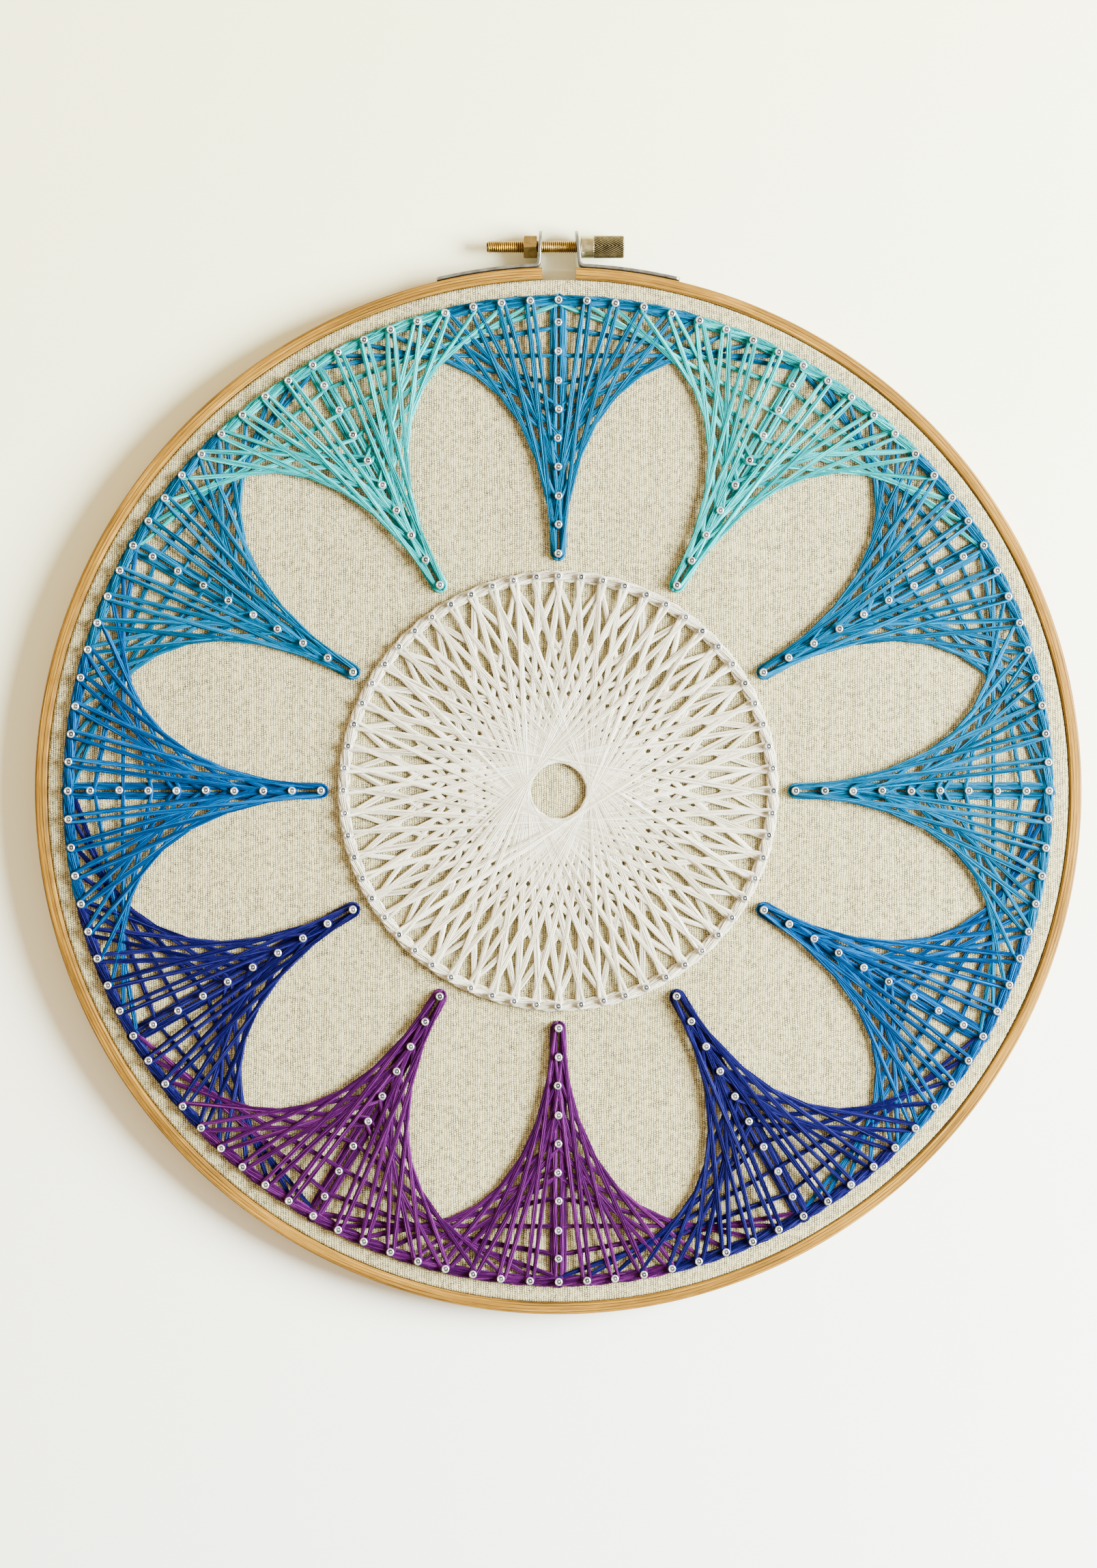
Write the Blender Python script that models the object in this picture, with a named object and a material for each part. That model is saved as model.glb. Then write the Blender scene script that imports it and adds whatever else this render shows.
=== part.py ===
"""Hoop embroidery art: threads wound round pins over cloth that a wooden screw hoop holds.

Units are metres. The hoop lies on its back with its face up (+Z) and its clamp at the far side (+Y).
The origin is the middle of the footprint, on the surface that the hoop rests on.
"""
import math

import bmesh
import bpy
from mathutils import Matrix
from mathutils.geometry import delaunay_2d_cdt

GAP = 0.0003                     # between two pieces that touch

# Outer ring of the hoop, split at the clamp
HOOP_RADIUS = 0.1525             # a 12 inch hoop, outside
HOOP_WALL = 0.0035
HOOP_DEPTH = 0.0100
WOOD_CHAMFER = 0.0006
SPLIT_LEFT = -0.0046             # x of the two ends of the split ring
SPLIT_RIGHT = 0.0052
ARC_STEP = 5                     # degrees between the corners of the large rounds

# Cloth, stretched over the inner ring and held between the two rings
CLOTH_THICKNESS = 0.0010
CLOTH_TOP = 0.0096
CLOTH_HEM = 0.0008               # height of the trimmed edge above the surface
CLOTH_BEND = 0.0012              # radius of its bend over the inner ring

# Inner ring of the hoop
INNER_WALL = 0.0040

# Pins and threads
RING_PIN_RADIUS = 0.1426
SPOKES = 12
PINS_PER_SPOKE = 9               # ring pins from one spoke to the next, and pins on each spoke
ROW_OUTER = 0.1360               # radius of the outermost and innermost pin of a spoke
ROW_INNER = 0.0690
BAND_WIDTH = 0.0033              # wound band along the ring pins
ROW_WIDTH = 0.0020               # wound band along a spoke's pins
STRAND_WIDTH = 0.0015
THREAD_LAYER = 0.0010
PIN_SIDE = 0.0013                # pins are square in section
PIN_TOP = 0.0132
NET_STEP = 2                     # every second strand of the net is built

# Round net in the middle
CENTRE_PIN_RADIUS = 0.0625
CENTRE_PINS = 60
CENTRE_HOLE_RADIUS = 0.0096
CENTRE_BAND = 0.0032
CENTRE_ANGLE = 24                # degrees between a strand and the radius at its pin

# Clamp
STRAP_THICKNESS = 0.00095
STRAP_REACH = 0.0355             # x of the tip of each strap
STRAP_BEND = 0.0014
ROD_HEIGHT = 0.0065              # screw axis above the outside of the ring
EAR_END_RADIUS = 0.0046
LEFT_EAR_FOOT_X = -0.0056
LEFT_EAR_TOP_X = -0.0051
RIGHT_EAR_FOOT_X = 0.0063
RIGHT_EAR_TOP_X = 0.0053
ROD_RADIUS = 0.0017
ROD_TIP_X = -0.0209
NUT_FACE_X = -0.0062
NUT_THICKNESS = 0.0039
NUT_CORNER_RADIUS = 0.00375
NUT_TURN = 22                    # degrees from a corner pointing away from the ring
COLLAR_X = 0.0066
KNURL_X = 0.0103
HEAD_END_X = 0.0193
COLLAR_RADIUS = 0.0032
KNURL_RADIUS = 0.00328
ROD_SIDES = 12
HEAD_SIDES = 16

# Worked out from the sizes above
PIN_STEP = 360 / (SPOKES * PINS_PER_SPOKE)
HOOP_INNER_RADIUS = HOOP_RADIUS - HOOP_WALL
CLOTH_RADIUS = HOOP_INNER_RADIUS - GAP
INNER_RING_RADIUS = CLOTH_RADIUS - CLOTH_THICKNESS - GAP
INNER_RING_TOP = CLOTH_TOP - CLOTH_THICKNESS - GAP
LOW_LAYER = CLOTH_TOP + GAP
HIGH_LAYER = LOW_LAYER + THREAD_LAYER + GAP
ROD_Y = HOOP_RADIUS + ROD_HEIGHT
ROD_Z = HOOP_DEPTH / 2
CLAMP_REACH = ROD_HEIGHT + EAR_END_RADIUS
STRAP_RADIUS = HOOP_RADIUS + GAP + STRAP_THICKNESS / 2
HOOP_CENTRE = (0.0, -CLAMP_REACH / 2, 0.0)

# Thread of each spoke, clockwise from the clamp
SPOKE_THREADS = (
    "blue_thread", "aqua_thread", "blue_thread", "blue_thread", "blue_thread", "indigo_thread",
    "purple_thread", "purple_thread", "indigo_thread", "blue_thread", "blue_thread", "aqua_thread",
)

# Finish of each material: base colour, roughness, metallic
FINISHES = {
    "hoop_wood": ((0.62, 0.38, 0.15, 1.0), 0.55, 0.0),
    "canvas": ((0.73, 0.67, 0.54, 1.0), 0.9, 0.0),
    "clamp_steel": ((0.50, 0.50, 0.46, 1.0), 0.4, 1.0),
    "screw_brass": ((0.42, 0.28, 0.10, 1.0), 0.35, 1.0),
    "aqua_thread": ((0.23, 0.62, 0.62, 1.0), 0.5, 0.0),
    "blue_thread": ((0.01, 0.23, 0.50, 1.0), 0.5, 0.0),
    "indigo_thread": ((0.01, 0.01, 0.14, 1.0), 0.5, 0.0),
    "purple_thread": ((0.13, 0.02, 0.15, 1.0), 0.5, 0.0),
    "white_thread": ((0.71, 0.66, 0.56, 1.0), 0.6, 0.0),
}


def polar(radius, degrees):
    """Point at a radius and an angle, measured clockwise from the clamp."""
    angle = math.radians(degrees)
    return (radius * math.sin(angle), radius * math.cos(angle))


def clear_scene():
    for thing in list(bpy.data.objects):
        bpy.data.objects.remove(thing, do_unlink=True)


def make_materials():
    for name, (colour, roughness, metallic) in FINISHES.items():
        finish = bpy.data.materials.new(name)
        finish.use_nodes = True
        shader = finish.node_tree.nodes["Principled BSDF"]
        shader.inputs["Base Color"].default_value = colour
        shader.inputs["Roughness"].default_value = roughness
        shader.inputs["Metallic"].default_value = metallic


def mesh_from(name, bm, material, smooth=True):
    """Closes a bmesh into a mesh with outward faces and one material."""
    bmesh.ops.recalc_face_normals(bm, faces=bm.faces)
    mesh = bpy.data.meshes.new(name)
    bm.to_mesh(mesh)
    bm.free()
    if smooth:
        mesh.shade_smooth()
        mesh.set_sharp_from_angle(angle=math.radians(35))
    mesh.materials.append(bpy.data.materials[material])
    return mesh


def place(name, mesh, parent, turn=0.0):
    piece = bpy.data.objects.new(name, mesh)
    bpy.context.collection.objects.link(piece)
    piece.parent = parent
    piece.rotation_euler = (0.0, 0.0, math.radians(turn))
    return piece


def loft(sections, closed):
    """Joins equal closed sections in order, capping both ends unless the run closes on itself."""
    bm = bmesh.new()
    rings = [[bm.verts.new(point) for point in section] for section in sections]
    pairs = list(zip(rings, rings[1:]))
    if closed:
        pairs.append((rings[-1], rings[0]))
    for ring, following in pairs:
        for i in range(len(ring)):
            k = (i + 1) % len(ring)
            bm.faces.new((ring[i], ring[k], following[k], following[i]))
    if not closed:
        bm.faces.new(rings[0])
        bm.faces.new(rings[-1])
    return bm


def ring_sections(outline, angles):
    """Carries an outline of (radius, height) points round the hoop's axis."""
    return [[(*polar(radius, degrees), height) for radius, height in outline] for degrees in angles]


def turned(profile, sides):
    """Turns a profile of (radius, height) about Z; a point of zero radius closes the end."""
    bm = bmesh.new()
    rings = []
    for radius, height in profile:
        if radius == 0.0:
            rings.append([bm.verts.new((0.0, 0.0, height))])
        else:
            corners = [polar(radius, 360 * i / sides) for i in range(sides)]
            rings.append([bm.verts.new((x, y, height)) for x, y in corners])
    for ring, following in zip(rings, rings[1:]):
        for i in range(sides):
            k = (i + 1) % sides
            if len(ring) == 1:
                bm.faces.new((ring[0], following[i], following[k]))
            elif len(following) == 1:
                bm.faces.new((ring[i], ring[k], following[0]))
            else:
                bm.faces.new((ring[i], ring[k], following[k], following[i]))
    return bm


def strip(start, end, width):
    """Outline of a straight strip between two plan points."""
    run = (end[0] - start[0], end[1] - start[1])
    length = math.hypot(*run)
    aside = (-run[1] / length * width / 2, run[0] / length * width / 2)
    return [
        (start[0] + aside[0], start[1] + aside[1]),
        (start[0] - aside[0], start[1] - aside[1]),
        (end[0] - aside[0], end[1] - aside[1]),
        (end[0] + aside[0], end[1] + aside[1]),
    ]


def fused_plate(outlines, low, high):
    """Fuses overlapping convex plan outlines, drawn anticlockwise, into one plate between two heights."""
    millimetre = 0.001
    points = [(x / millimetre, y / millimetre) for outline in outlines for x, y in outline]
    faces = []
    for outline in outlines:
        start = sum(len(face) for face in faces)
        faces.append(list(range(start, start + len(outline))))
    found = delaunay_2d_cdt(points, [], faces, 1, 1e-5, True)
    places, triangles, sources = found[0], found[2], found[5]
    bm = bmesh.new()
    corners = [bm.verts.new((x * millimetre, y * millimetre, low)) for x, y in places]
    for triangle, source in zip(triangles, sources):
        if source:
            bm.faces.new([corners[i] for i in triangle])
    loose = [vert for vert in bm.verts if not vert.link_faces]
    bmesh.ops.delete(bm, geom=loose, context='VERTS')
    bmesh.ops.dissolve_limit(
        bm, angle_limit=math.radians(0.5), use_dissolve_boundaries=False,
        verts=bm.verts, edges=bm.edges, delimit=set(),
    )
    raised = bmesh.ops.extrude_face_region(bm, geom=list(bm.faces), use_keep_orig=True)
    upper = [item for item in raised["geom"] if isinstance(item, bmesh.types.BMVert)]
    bmesh.ops.translate(bm, verts=upper, vec=(0.0, 0.0, high - low))
    return bm


def with_pins(name, plate, pins, foot, material):
    """Fuses square pins, which stand on the cloth's side of a plate, into it."""
    base = bpy.data.objects.new(name + "_plate", mesh_from(name + "_plate", plate, material, False))
    posts = bmesh.new()
    for x, y in pins:
        turn = Matrix.Rotation(math.atan2(y, x), 4, 'Z')
        place_at = Matrix.Translation((x, y, (foot + PIN_TOP) / 2)) @ turn
        size = Matrix.Diagonal((PIN_SIDE, PIN_SIDE, PIN_TOP - foot, 1.0))
        bmesh.ops.create_cube(posts, size=1.0, matrix=place_at @ size)
    cutter = bpy.data.objects.new(name + "_pins", mesh_from(name + "_pins", posts, material, False))
    for thing in (base, cutter):
        bpy.context.collection.objects.link(thing)
    union = base.modifiers.new("pins", 'BOOLEAN')
    union.operation = 'UNION'
    union.solver = 'EXACT'
    union.object = cutter
    graph = bpy.context.evaluated_depsgraph_get()
    fused = bpy.data.meshes.new_from_object(base.evaluated_get(graph))
    fused.name = name
    for thing in (base, cutter):
        bpy.data.objects.remove(thing, do_unlink=True)
    return fused


def build_outer_ring(hoop):
    inner, outer, cut = HOOP_INNER_RADIUS, HOOP_RADIUS, WOOD_CHAMFER
    outline = [
        (inner, cut), (inner + cut, 0.0), (outer - cut, 0.0), (outer, cut),
        (outer, HOOP_DEPTH - cut), (outer - cut, HOOP_DEPTH), (inner + cut, HOOP_DEPTH),
        (inner, HOOP_DEPTH - cut),
    ]
    middle = (inner + outer) / 2
    first = math.degrees(math.asin(SPLIT_RIGHT / middle))
    last = 360 + math.degrees(math.asin(SPLIT_LEFT / middle))
    angles = [first, *range(ARC_STEP, 360, ARC_STEP), last]
    bm = loft(ring_sections(outline, angles), closed=False)
    place("outer_ring", mesh_from("outer_ring", bm, "hoop_wood"), hoop)


def build_inner_ring(hoop):
    inner, outer = INNER_RING_RADIUS - INNER_WALL, INNER_RING_RADIUS
    cut = WOOD_CHAMFER
    outline = [
        (inner, 0.0), (outer, 0.0), (outer, INNER_RING_TOP - cut),
        (outer - cut, INNER_RING_TOP), (inner, INNER_RING_TOP),
    ]
    bm = loft(ring_sections(outline, range(0, 360, ARC_STEP)), closed=True)
    place("inner_ring", mesh_from("inner_ring", bm, "hoop_wood"), hoop)


def build_cloth(hoop):
    """One sheet: a tight disc that bends down between the rings to its trimmed edge."""
    outer, inner = CLOTH_RADIUS, CLOTH_RADIUS - CLOTH_THICKNESS
    under = CLOTH_TOP - CLOTH_THICKNESS
    bend = CLOTH_BEND
    corner = (outer - bend, CLOTH_TOP - bend)
    rounding = [
        (corner[0] + bend * math.sin(t), corner[1] + bend * math.cos(t))
        for t in (0.0, math.pi / 4, math.pi / 2)
    ]
    profile = [
        (0.0, CLOTH_TOP), *rounding, (outer, CLOTH_HEM), (inner, CLOTH_HEM),
        (inner, under - GAP), (inner - GAP, under), (0.0, under),
    ]
    bm = turned(profile, 360 // ARC_STEP)
    place("cloth", mesh_from("cloth", bm, "canvas"), hoop)


def strap_path(side, foot_x, top_x):
    """Centre line of a strap in plan, from its tip round the ring, through its bend and up its ear."""
    tip = math.degrees(math.asin(STRAP_REACH / STRAP_RADIUS))
    heel_x = abs(foot_x) + STRAP_BEND
    heel = math.degrees(math.asin(heel_x / STRAP_RADIUS))
    steps = 8
    path = [polar(STRAP_RADIUS, side * (tip + (heel - tip) * i / steps)) for i in range(steps + 1)]
    heel_y = path[-1][1]
    for degrees in (30, 60, 90):
        turn = math.radians(degrees)
        path.append((
            side * (heel_x - STRAP_BEND * math.sin(turn)),
            heel_y + STRAP_BEND * (1 - math.cos(turn)),
        ))
    straight = 6
    foot_y = path[-1][1]
    top_y = ROD_Y + EAR_END_RADIUS
    for i in range(1, straight + 1):
        t = math.sin(math.pi / 2 * i / straight)
        path.append((foot_x + (top_x - foot_x) * t, foot_y + (top_y - foot_y) * t))
    return path


def strap_sections(path):
    """Flat sections across a strap, narrowing to a rounded tip and a rounded ear."""
    reach = [0.0]
    for here, there in zip(path, path[1:]):
        reach.append(reach[-1] + math.dist(here, there))
    sections = []
    for i, (x, y) in enumerate(path):
        before, after = path[max(i - 1, 0)], path[min(i + 1, len(path) - 1)]
        run = (after[0] - before[0], after[1] - before[1])
        length = math.hypot(*run)
        aside = (-run[1] / length * STRAP_THICKNESS / 2, run[0] / length * STRAP_THICKNESS / 2)
        to_end = min(reach[i], reach[-1] - reach[i])
        short = max(EAR_END_RADIUS - to_end, 0.0)
        half = max(math.sqrt(EAR_END_RADIUS ** 2 - short ** 2), EAR_END_RADIUS / 5)
        sections.append([
            (x + aside[0], y + aside[1], ROD_Z - half), (x - aside[0], y - aside[1], ROD_Z - half),
            (x - aside[0], y - aside[1], ROD_Z + half), (x + aside[0], y + aside[1], ROD_Z + half),
        ])
    return sections


def rod_hole(hoop):
    """Guide that cuts the screw's hole through both ears."""
    bm = turned([(0.0, -0.02), (ROD_RADIUS + GAP, -0.02), (ROD_RADIUS + GAP, 0.02), (0.0, 0.02)], ROD_SIDES)
    bmesh.ops.rotate(bm, verts=bm.verts, matrix=Matrix.Rotation(math.pi / 2, 3, 'Y'))
    cutter = place("rod_hole", mesh_from("rod_hole", bm, "screw_brass"), hoop)
    cutter.location = (0.0, ROD_Y, ROD_Z)
    cutter.hide_render = True
    cutter.display_type = 'WIRE'
    return cutter


def build_bracket(name, side, foot_x, top_x, hole, hoop):
    bm = loft(strap_sections(strap_path(side, foot_x, top_x)), closed=False)
    bracket = place(name, mesh_from(name, bm, "clamp_steel"), hoop)
    bore = bracket.modifiers.new("rod hole", 'BOOLEAN')
    bore.operation = 'DIFFERENCE'
    bore.solver = 'EXACT'
    bore.object = hole


def along_screw(name, bm, material, hoop):
    """Lays a piece turned about Z along the screw, its height running to +X."""
    bmesh.ops.rotate(bm, verts=bm.verts, matrix=Matrix.Rotation(math.pi / 2, 3, 'Y'))
    piece = place(name, mesh_from(name, bm, material), hoop)
    piece.location = (0.0, ROD_Y, ROD_Z)


def build_screw(hoop):
    tip = 0.0005
    rod_end = COLLAR_X - GAP
    rod = turned([
        (0.0, ROD_TIP_X), (ROD_RADIUS - tip, ROD_TIP_X), (ROD_RADIUS, ROD_TIP_X + tip),
        (ROD_RADIUS, rod_end), (0.0, rod_end),
    ], ROD_SIDES)
    along_screw("screw_rod", rod, "screw_brass", hoop)
    round_end = 0.0009
    head = turned([
        (0.0, COLLAR_X), (COLLAR_RADIUS, COLLAR_X), (COLLAR_RADIUS, KNURL_X), (KNURL_RADIUS, KNURL_X),
        (KNURL_RADIUS, HEAD_END_X - round_end), (KNURL_RADIUS - round_end, HEAD_END_X), (0.0, HEAD_END_X),
    ], HEAD_SIDES)
    along_screw("knurled_head", head, "clamp_steel", hoop)


def build_nut(hoop):
    """A hexagon with a round bore, from a twelve-sided ring whose outside keeps six corners."""
    low, high = NUT_FACE_X - NUT_THICKNESS, NUT_FACE_X
    flat = NUT_CORNER_RADIUS * math.cos(math.radians(30))
    sections = []
    for i in range(12):
        outer = NUT_CORNER_RADIUS if i % 2 == 0 else flat
        degrees = 30 * i + NUT_TURN
        bore = ROD_RADIUS + GAP
        sections.append([
            (*polar(bore, degrees), low), (*polar(outer, degrees), low),
            (*polar(outer, degrees), high), (*polar(bore, degrees), high),
        ])
    along_screw("hex_nut", loft(sections, closed=True), "screw_brass", hoop)


def build_ring_bands(hoop):
    """Twelve lengths of wound band, each with its nine pins, round the edge of the cloth."""
    half_turn = 180 / SPOKES
    margin = math.degrees(GAP / 2 / (RING_PIN_RADIUS - BAND_WIDTH / 2))
    side_pins = PINS_PER_SPOKE // 2
    pin_angles = [PIN_STEP * j for j in range(-side_pins, side_pins + 1)]
    inner, outer = RING_PIN_RADIUS - BAND_WIDTH / 2, RING_PIN_RADIUS + BAND_WIDTH / 2
    top = LOW_LAYER + THREAD_LAYER
    outline = [(inner, LOW_LAYER), (outer, LOW_LAYER), (outer, top), (inner, top)]
    angles = [-half_turn + margin, *pin_angles, half_turn - margin]
    band = loft(ring_sections(outline, angles), closed=False)
    pins = [polar(RING_PIN_RADIUS, degrees) for degrees in pin_angles]
    shape = with_pins("ring_band", band, pins, LOW_LAYER + GAP, "white_thread")
    for k, thread in enumerate(SPOKE_THREADS):
        mesh = shape.copy()
        mesh.materials[0] = bpy.data.materials[thread]
        place(f"ring_band_{k + 1:02d}", mesh, hoop, turn=-360 / SPOKES * k)


def point_at_radius(start, end, radius):
    """Point of a line from start, outside a circle about the middle, where it enters the circle."""
    run = (end[0] - start[0], end[1] - start[1])
    a = run[0] ** 2 + run[1] ** 2
    b = start[0] * run[0] + start[1] * run[1]
    c = start[0] ** 2 + start[1] ** 2 - radius ** 2
    t = (-b - math.sqrt(b * b - a * c)) / a
    return (start[0] + run[0] * t, start[1] + run[1] * t)


def spoke_outlines(over_band):
    """Plan of one spoke: its row and the strands that fan from it to the ring pins on both sides.

    The pin that is m places in along the row holds the strand to the ring pin PINS_PER_SPOKE - m
    places round, so that each side's strands wrap a curve.
    """
    pitch = (ROW_OUTER - ROW_INNER) / (PINS_PER_SPOKE - 1)
    rows = [(0.0, ROW_OUTER - pitch * m) for m in range(PINS_PER_SPOKE)]
    outlines = [strip(rows[0], rows[-1], ROW_WIDTH)]
    if over_band:
        end_radius = RING_PIN_RADIUS - PIN_SIDE
    else:
        end_radius = RING_PIN_RADIUS - BAND_WIDTH / 2 - GAP
    end_radius -= STRAND_WIDTH / 2
    for side in (-1, 1):
        for m in range(1, PINS_PER_SPOKE - 1, NET_STEP):
            pin = polar(RING_PIN_RADIUS, side * (PINS_PER_SPOKE - m) * PIN_STEP)
            outlines.append(strip(rows[m], point_at_radius(pin, rows[m], end_radius), STRAND_WIDTH))
    return outlines, rows


def build_spoke_webs(hoop):
    """Every second spoke lies on the cloth, and those between cross over their strands."""
    shapes = []
    for name, layer, over_band in (("low_web", LOW_LAYER, False), ("high_web", HIGH_LAYER, True)):
        outlines, pins = spoke_outlines(over_band)
        plate = fused_plate(outlines, layer, layer + THREAD_LAYER)
        foot = LOW_LAYER + GAP if layer == LOW_LAYER else LOW_LAYER
        shapes.append(with_pins(name, plate, pins, foot, "white_thread"))
    for k, thread in enumerate(SPOKE_THREADS):
        mesh = shapes[k % 2].copy()
        mesh.materials[0] = bpy.data.materials[thread]
        place(f"spoke_web_{k + 1:02d}", mesh, hoop, turn=-360 / SPOKES * k)


def annular_wedges(inner, outer, count):
    """Plan outlines that together make a flat ring."""
    wedges = []
    for i in range(count):
        here, there = 360 / count * i, 360 / count * (i + 1)
        wedges.append([polar(inner, here), polar(inner, there), polar(outer, there), polar(outer, here)])
    return wedges


def build_centre_web(hoop):
    """The round net: close threads in the middle, open between its strands at the rim."""
    pins = CENTRE_PINS // NET_STEP
    half_pitch = 180 / pins
    meeting = CENTRE_PIN_RADIUS * math.sin(math.radians(CENTRE_ANGLE))
    meeting /= math.sin(math.radians(CENTRE_ANGLE + half_pitch))
    close_radius = meeting + STRAND_WIDTH / 2
    outlines = annular_wedges(CENTRE_HOLE_RADIUS, close_radius, pins)
    half_band = CENTRE_BAND / 2
    outlines += annular_wedges(CENTRE_PIN_RADIUS - half_band, CENTRE_PIN_RADIUS + half_band, pins)
    for i in range(pins):
        start = polar(CENTRE_PIN_RADIUS, 2 * half_pitch * i)
        for side in (-1, 1):
            end = polar(meeting, 2 * half_pitch * i + side * half_pitch)
            outlines.append(strip(start, end, STRAND_WIDTH))
    plate = fused_plate(outlines, LOW_LAYER, LOW_LAYER + THREAD_LAYER)
    places = [polar(CENTRE_PIN_RADIUS, half_pitch * i) for i in range(CENTRE_PINS)]
    mesh = with_pins("centre_web", plate, places, LOW_LAYER + GAP, "white_thread")
    place("centre_web", mesh, hoop)


def main():
    clear_scene()
    make_materials()
    hoop = bpy.data.objects.new("hoop", None)
    bpy.context.collection.objects.link(hoop)
    hoop.location = HOOP_CENTRE
    build_outer_ring(hoop)
    build_inner_ring(hoop)
    build_cloth(hoop)
    hole = rod_hole(hoop)
    build_bracket("bracket_left", -1, LEFT_EAR_FOOT_X, LEFT_EAR_TOP_X, hole, hoop)
    build_bracket("bracket_right", 1, RIGHT_EAR_FOOT_X, RIGHT_EAR_TOP_X, hole, hoop)
    build_screw(hoop)
    build_nut(hoop)
    build_ring_bands(hoop)
    build_spoke_webs(hoop)
    build_centre_web(hoop)


main()
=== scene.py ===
"""Looks of the hoop: bent wood, woven canvas, a screw clamp, pins and wound threads.

Every piece is a set of closed rings carried along a path, worked out as whole numpy arrays and put
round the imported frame. Lengths are metres, and +Z comes out of the front of the cloth.
"""
import math

import bpy
import numpy as np
from bpy.props import FloatProperty, FloatVectorProperty, IntProperty, PointerProperty
from bpy.types import Operator, Panel, PropertyGroup
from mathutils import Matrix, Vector


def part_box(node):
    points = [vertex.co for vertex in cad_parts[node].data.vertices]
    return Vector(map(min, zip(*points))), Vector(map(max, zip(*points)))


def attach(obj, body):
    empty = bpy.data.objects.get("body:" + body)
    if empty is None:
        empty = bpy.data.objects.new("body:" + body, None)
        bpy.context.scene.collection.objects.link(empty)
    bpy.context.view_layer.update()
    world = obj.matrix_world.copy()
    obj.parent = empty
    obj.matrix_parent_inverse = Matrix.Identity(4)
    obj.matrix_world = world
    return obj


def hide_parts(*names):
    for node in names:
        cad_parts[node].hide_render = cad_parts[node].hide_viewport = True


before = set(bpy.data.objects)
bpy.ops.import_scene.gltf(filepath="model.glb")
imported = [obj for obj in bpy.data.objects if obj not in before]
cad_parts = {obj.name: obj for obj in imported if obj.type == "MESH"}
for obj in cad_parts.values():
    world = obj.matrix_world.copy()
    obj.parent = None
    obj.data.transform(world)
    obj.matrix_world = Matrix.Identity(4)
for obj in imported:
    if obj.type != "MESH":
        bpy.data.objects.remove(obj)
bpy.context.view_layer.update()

bl_info = {
    "name": "Thread Hoop",
    "version": (1, 0, 0),
    "blender": (4, 5, 0),
    "location": "3D View > Sidebar > Hoop",
    "description": "Builds a wooden screw hoop with canvas, pins and wound threads",
    "category": "Add Mesh",
}

MM = 0.001
FULL_TURN = 2 * math.pi

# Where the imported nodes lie
RING_LOW, RING_HIGH = (np.array(corner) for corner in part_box("outer_ring"))
INNER_LOW, INNER_HIGH = (np.array(corner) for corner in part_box("inner_ring"))
CLOTH_LOW, CLOTH_HIGH = (np.array(corner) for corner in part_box("cloth"))
ROD_LOW, ROD_HIGH = (np.array(corner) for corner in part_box("screw_rod"))
NUT_LOW, NUT_HIGH = (np.array(corner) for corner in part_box("hex_nut"))
HEAD_LOW, HEAD_HIGH = (np.array(corner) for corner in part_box("knurled_head"))
BAND_LOW, BAND_HIGH = (np.array(corner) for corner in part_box("ring_band_01"))
HOOP_MIDDLE = (INNER_LOW[:2] + INNER_HIGH[:2]) / 2
SCREW_AXIS = (ROD_LOW + ROD_HIGH) / 2

# Photograph's frame, and where the middle of the hoop lies in it
FRAME_WIDTH_PX, FRAME_HEIGHT_PX = 1607, 2296
HOOP_MIDDLE_PX = (817.75, 1158.0)
PIXEL = 0.0001988

# Net of threads
SPOKES = 12
PINS_PER_SPOKE = 9
CENTRE_PINS = 60
# Straight threads of the centre net: pins that each one passes, and how many pins apart they start
CHORDS = ((22, 2), (27, 1))

# Ears of the clamp: name, side, and place along the screw at the foot and at the top
EARS = (("left", -1, -0.0056, -0.0051), ("right", 1, 0.0063, 0.0053))

# Lamps: name, place, width and colour
LAMPS = (
    ("key", (1.10, 0.04, 0.66), 0.76, (0.925, 1.0, 0.985)),
    ("fill", (-0.5, -0.35, 0.9), 1.0, (1.0, 0.84, 0.55)),
)
SKY_COLOUR = (1.0, 0.77, 0.50, 1.0)

# Metals: dark and light in 8-bit colour, roughness, share of brushing in the stains, and metallic
METALS = {
    "nickelled_strap": ((86, 87, 86), (172, 174, 170), 0.34, 0.5, 1.0),
    "screw_brass": ((140, 104, 34), (220, 182, 92), 0.30, 0.4, 1.0),
    "nut_brass": ((122, 102, 52), (186, 164, 102), 0.26, 0.4, 1.0),
    "head_nickel": ((134, 126, 92), (206, 196, 154), 0.30, 0.4, 1.0),
    "bright_pin": ((156, 158, 160), (238, 240, 240), 0.24, 0.35, 0.6),
}

# Shades of each thread from dark to light, in 8-bit colour; the lightest is partly painted highlight on the
# fibres
THREAD_SHADES = {
    "aqua": ("aqua_thread", (0, 76, 80), (0, 128, 132), (60, 244, 248)),
    "blue": ("blue_thread", (0, 26, 50), (0, 68, 98), (0, 130, 184)),
    "royal": ("blue_thread", (0, 18, 52), (0, 48, 92), (0, 102, 168)),
    "indigo": ("indigo_thread", (0, 0, 16), (3, 0, 45), (40, 41, 106)),
    "purple": ("purple_thread", (10, 0, 13), (38, 0, 46), (102, 40, 104)),
    "white": ("white_thread", (128, 119, 98), (210, 202, 178), (255, 252, 242)),
}

# Thread of each spoke and of its part of the rim, clockwise from the clamp
SPOKE_THREADS = (
    "blue", "aqua", "blue", "blue", "royal", "indigo",
    "purple", "purple", "indigo", "royal", "blue", "aqua",
)


def linear(colour):
    """Scene colour of an 8-bit one: its share of full raised to the display's power."""
    share = np.asarray(colour, dtype=float) / 255
    low = share / 12.92
    high = ((share + 0.055) / 1.055) ** 2.4
    return (*np.where(share <= 0.04045, low, high), 1.0)


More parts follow.
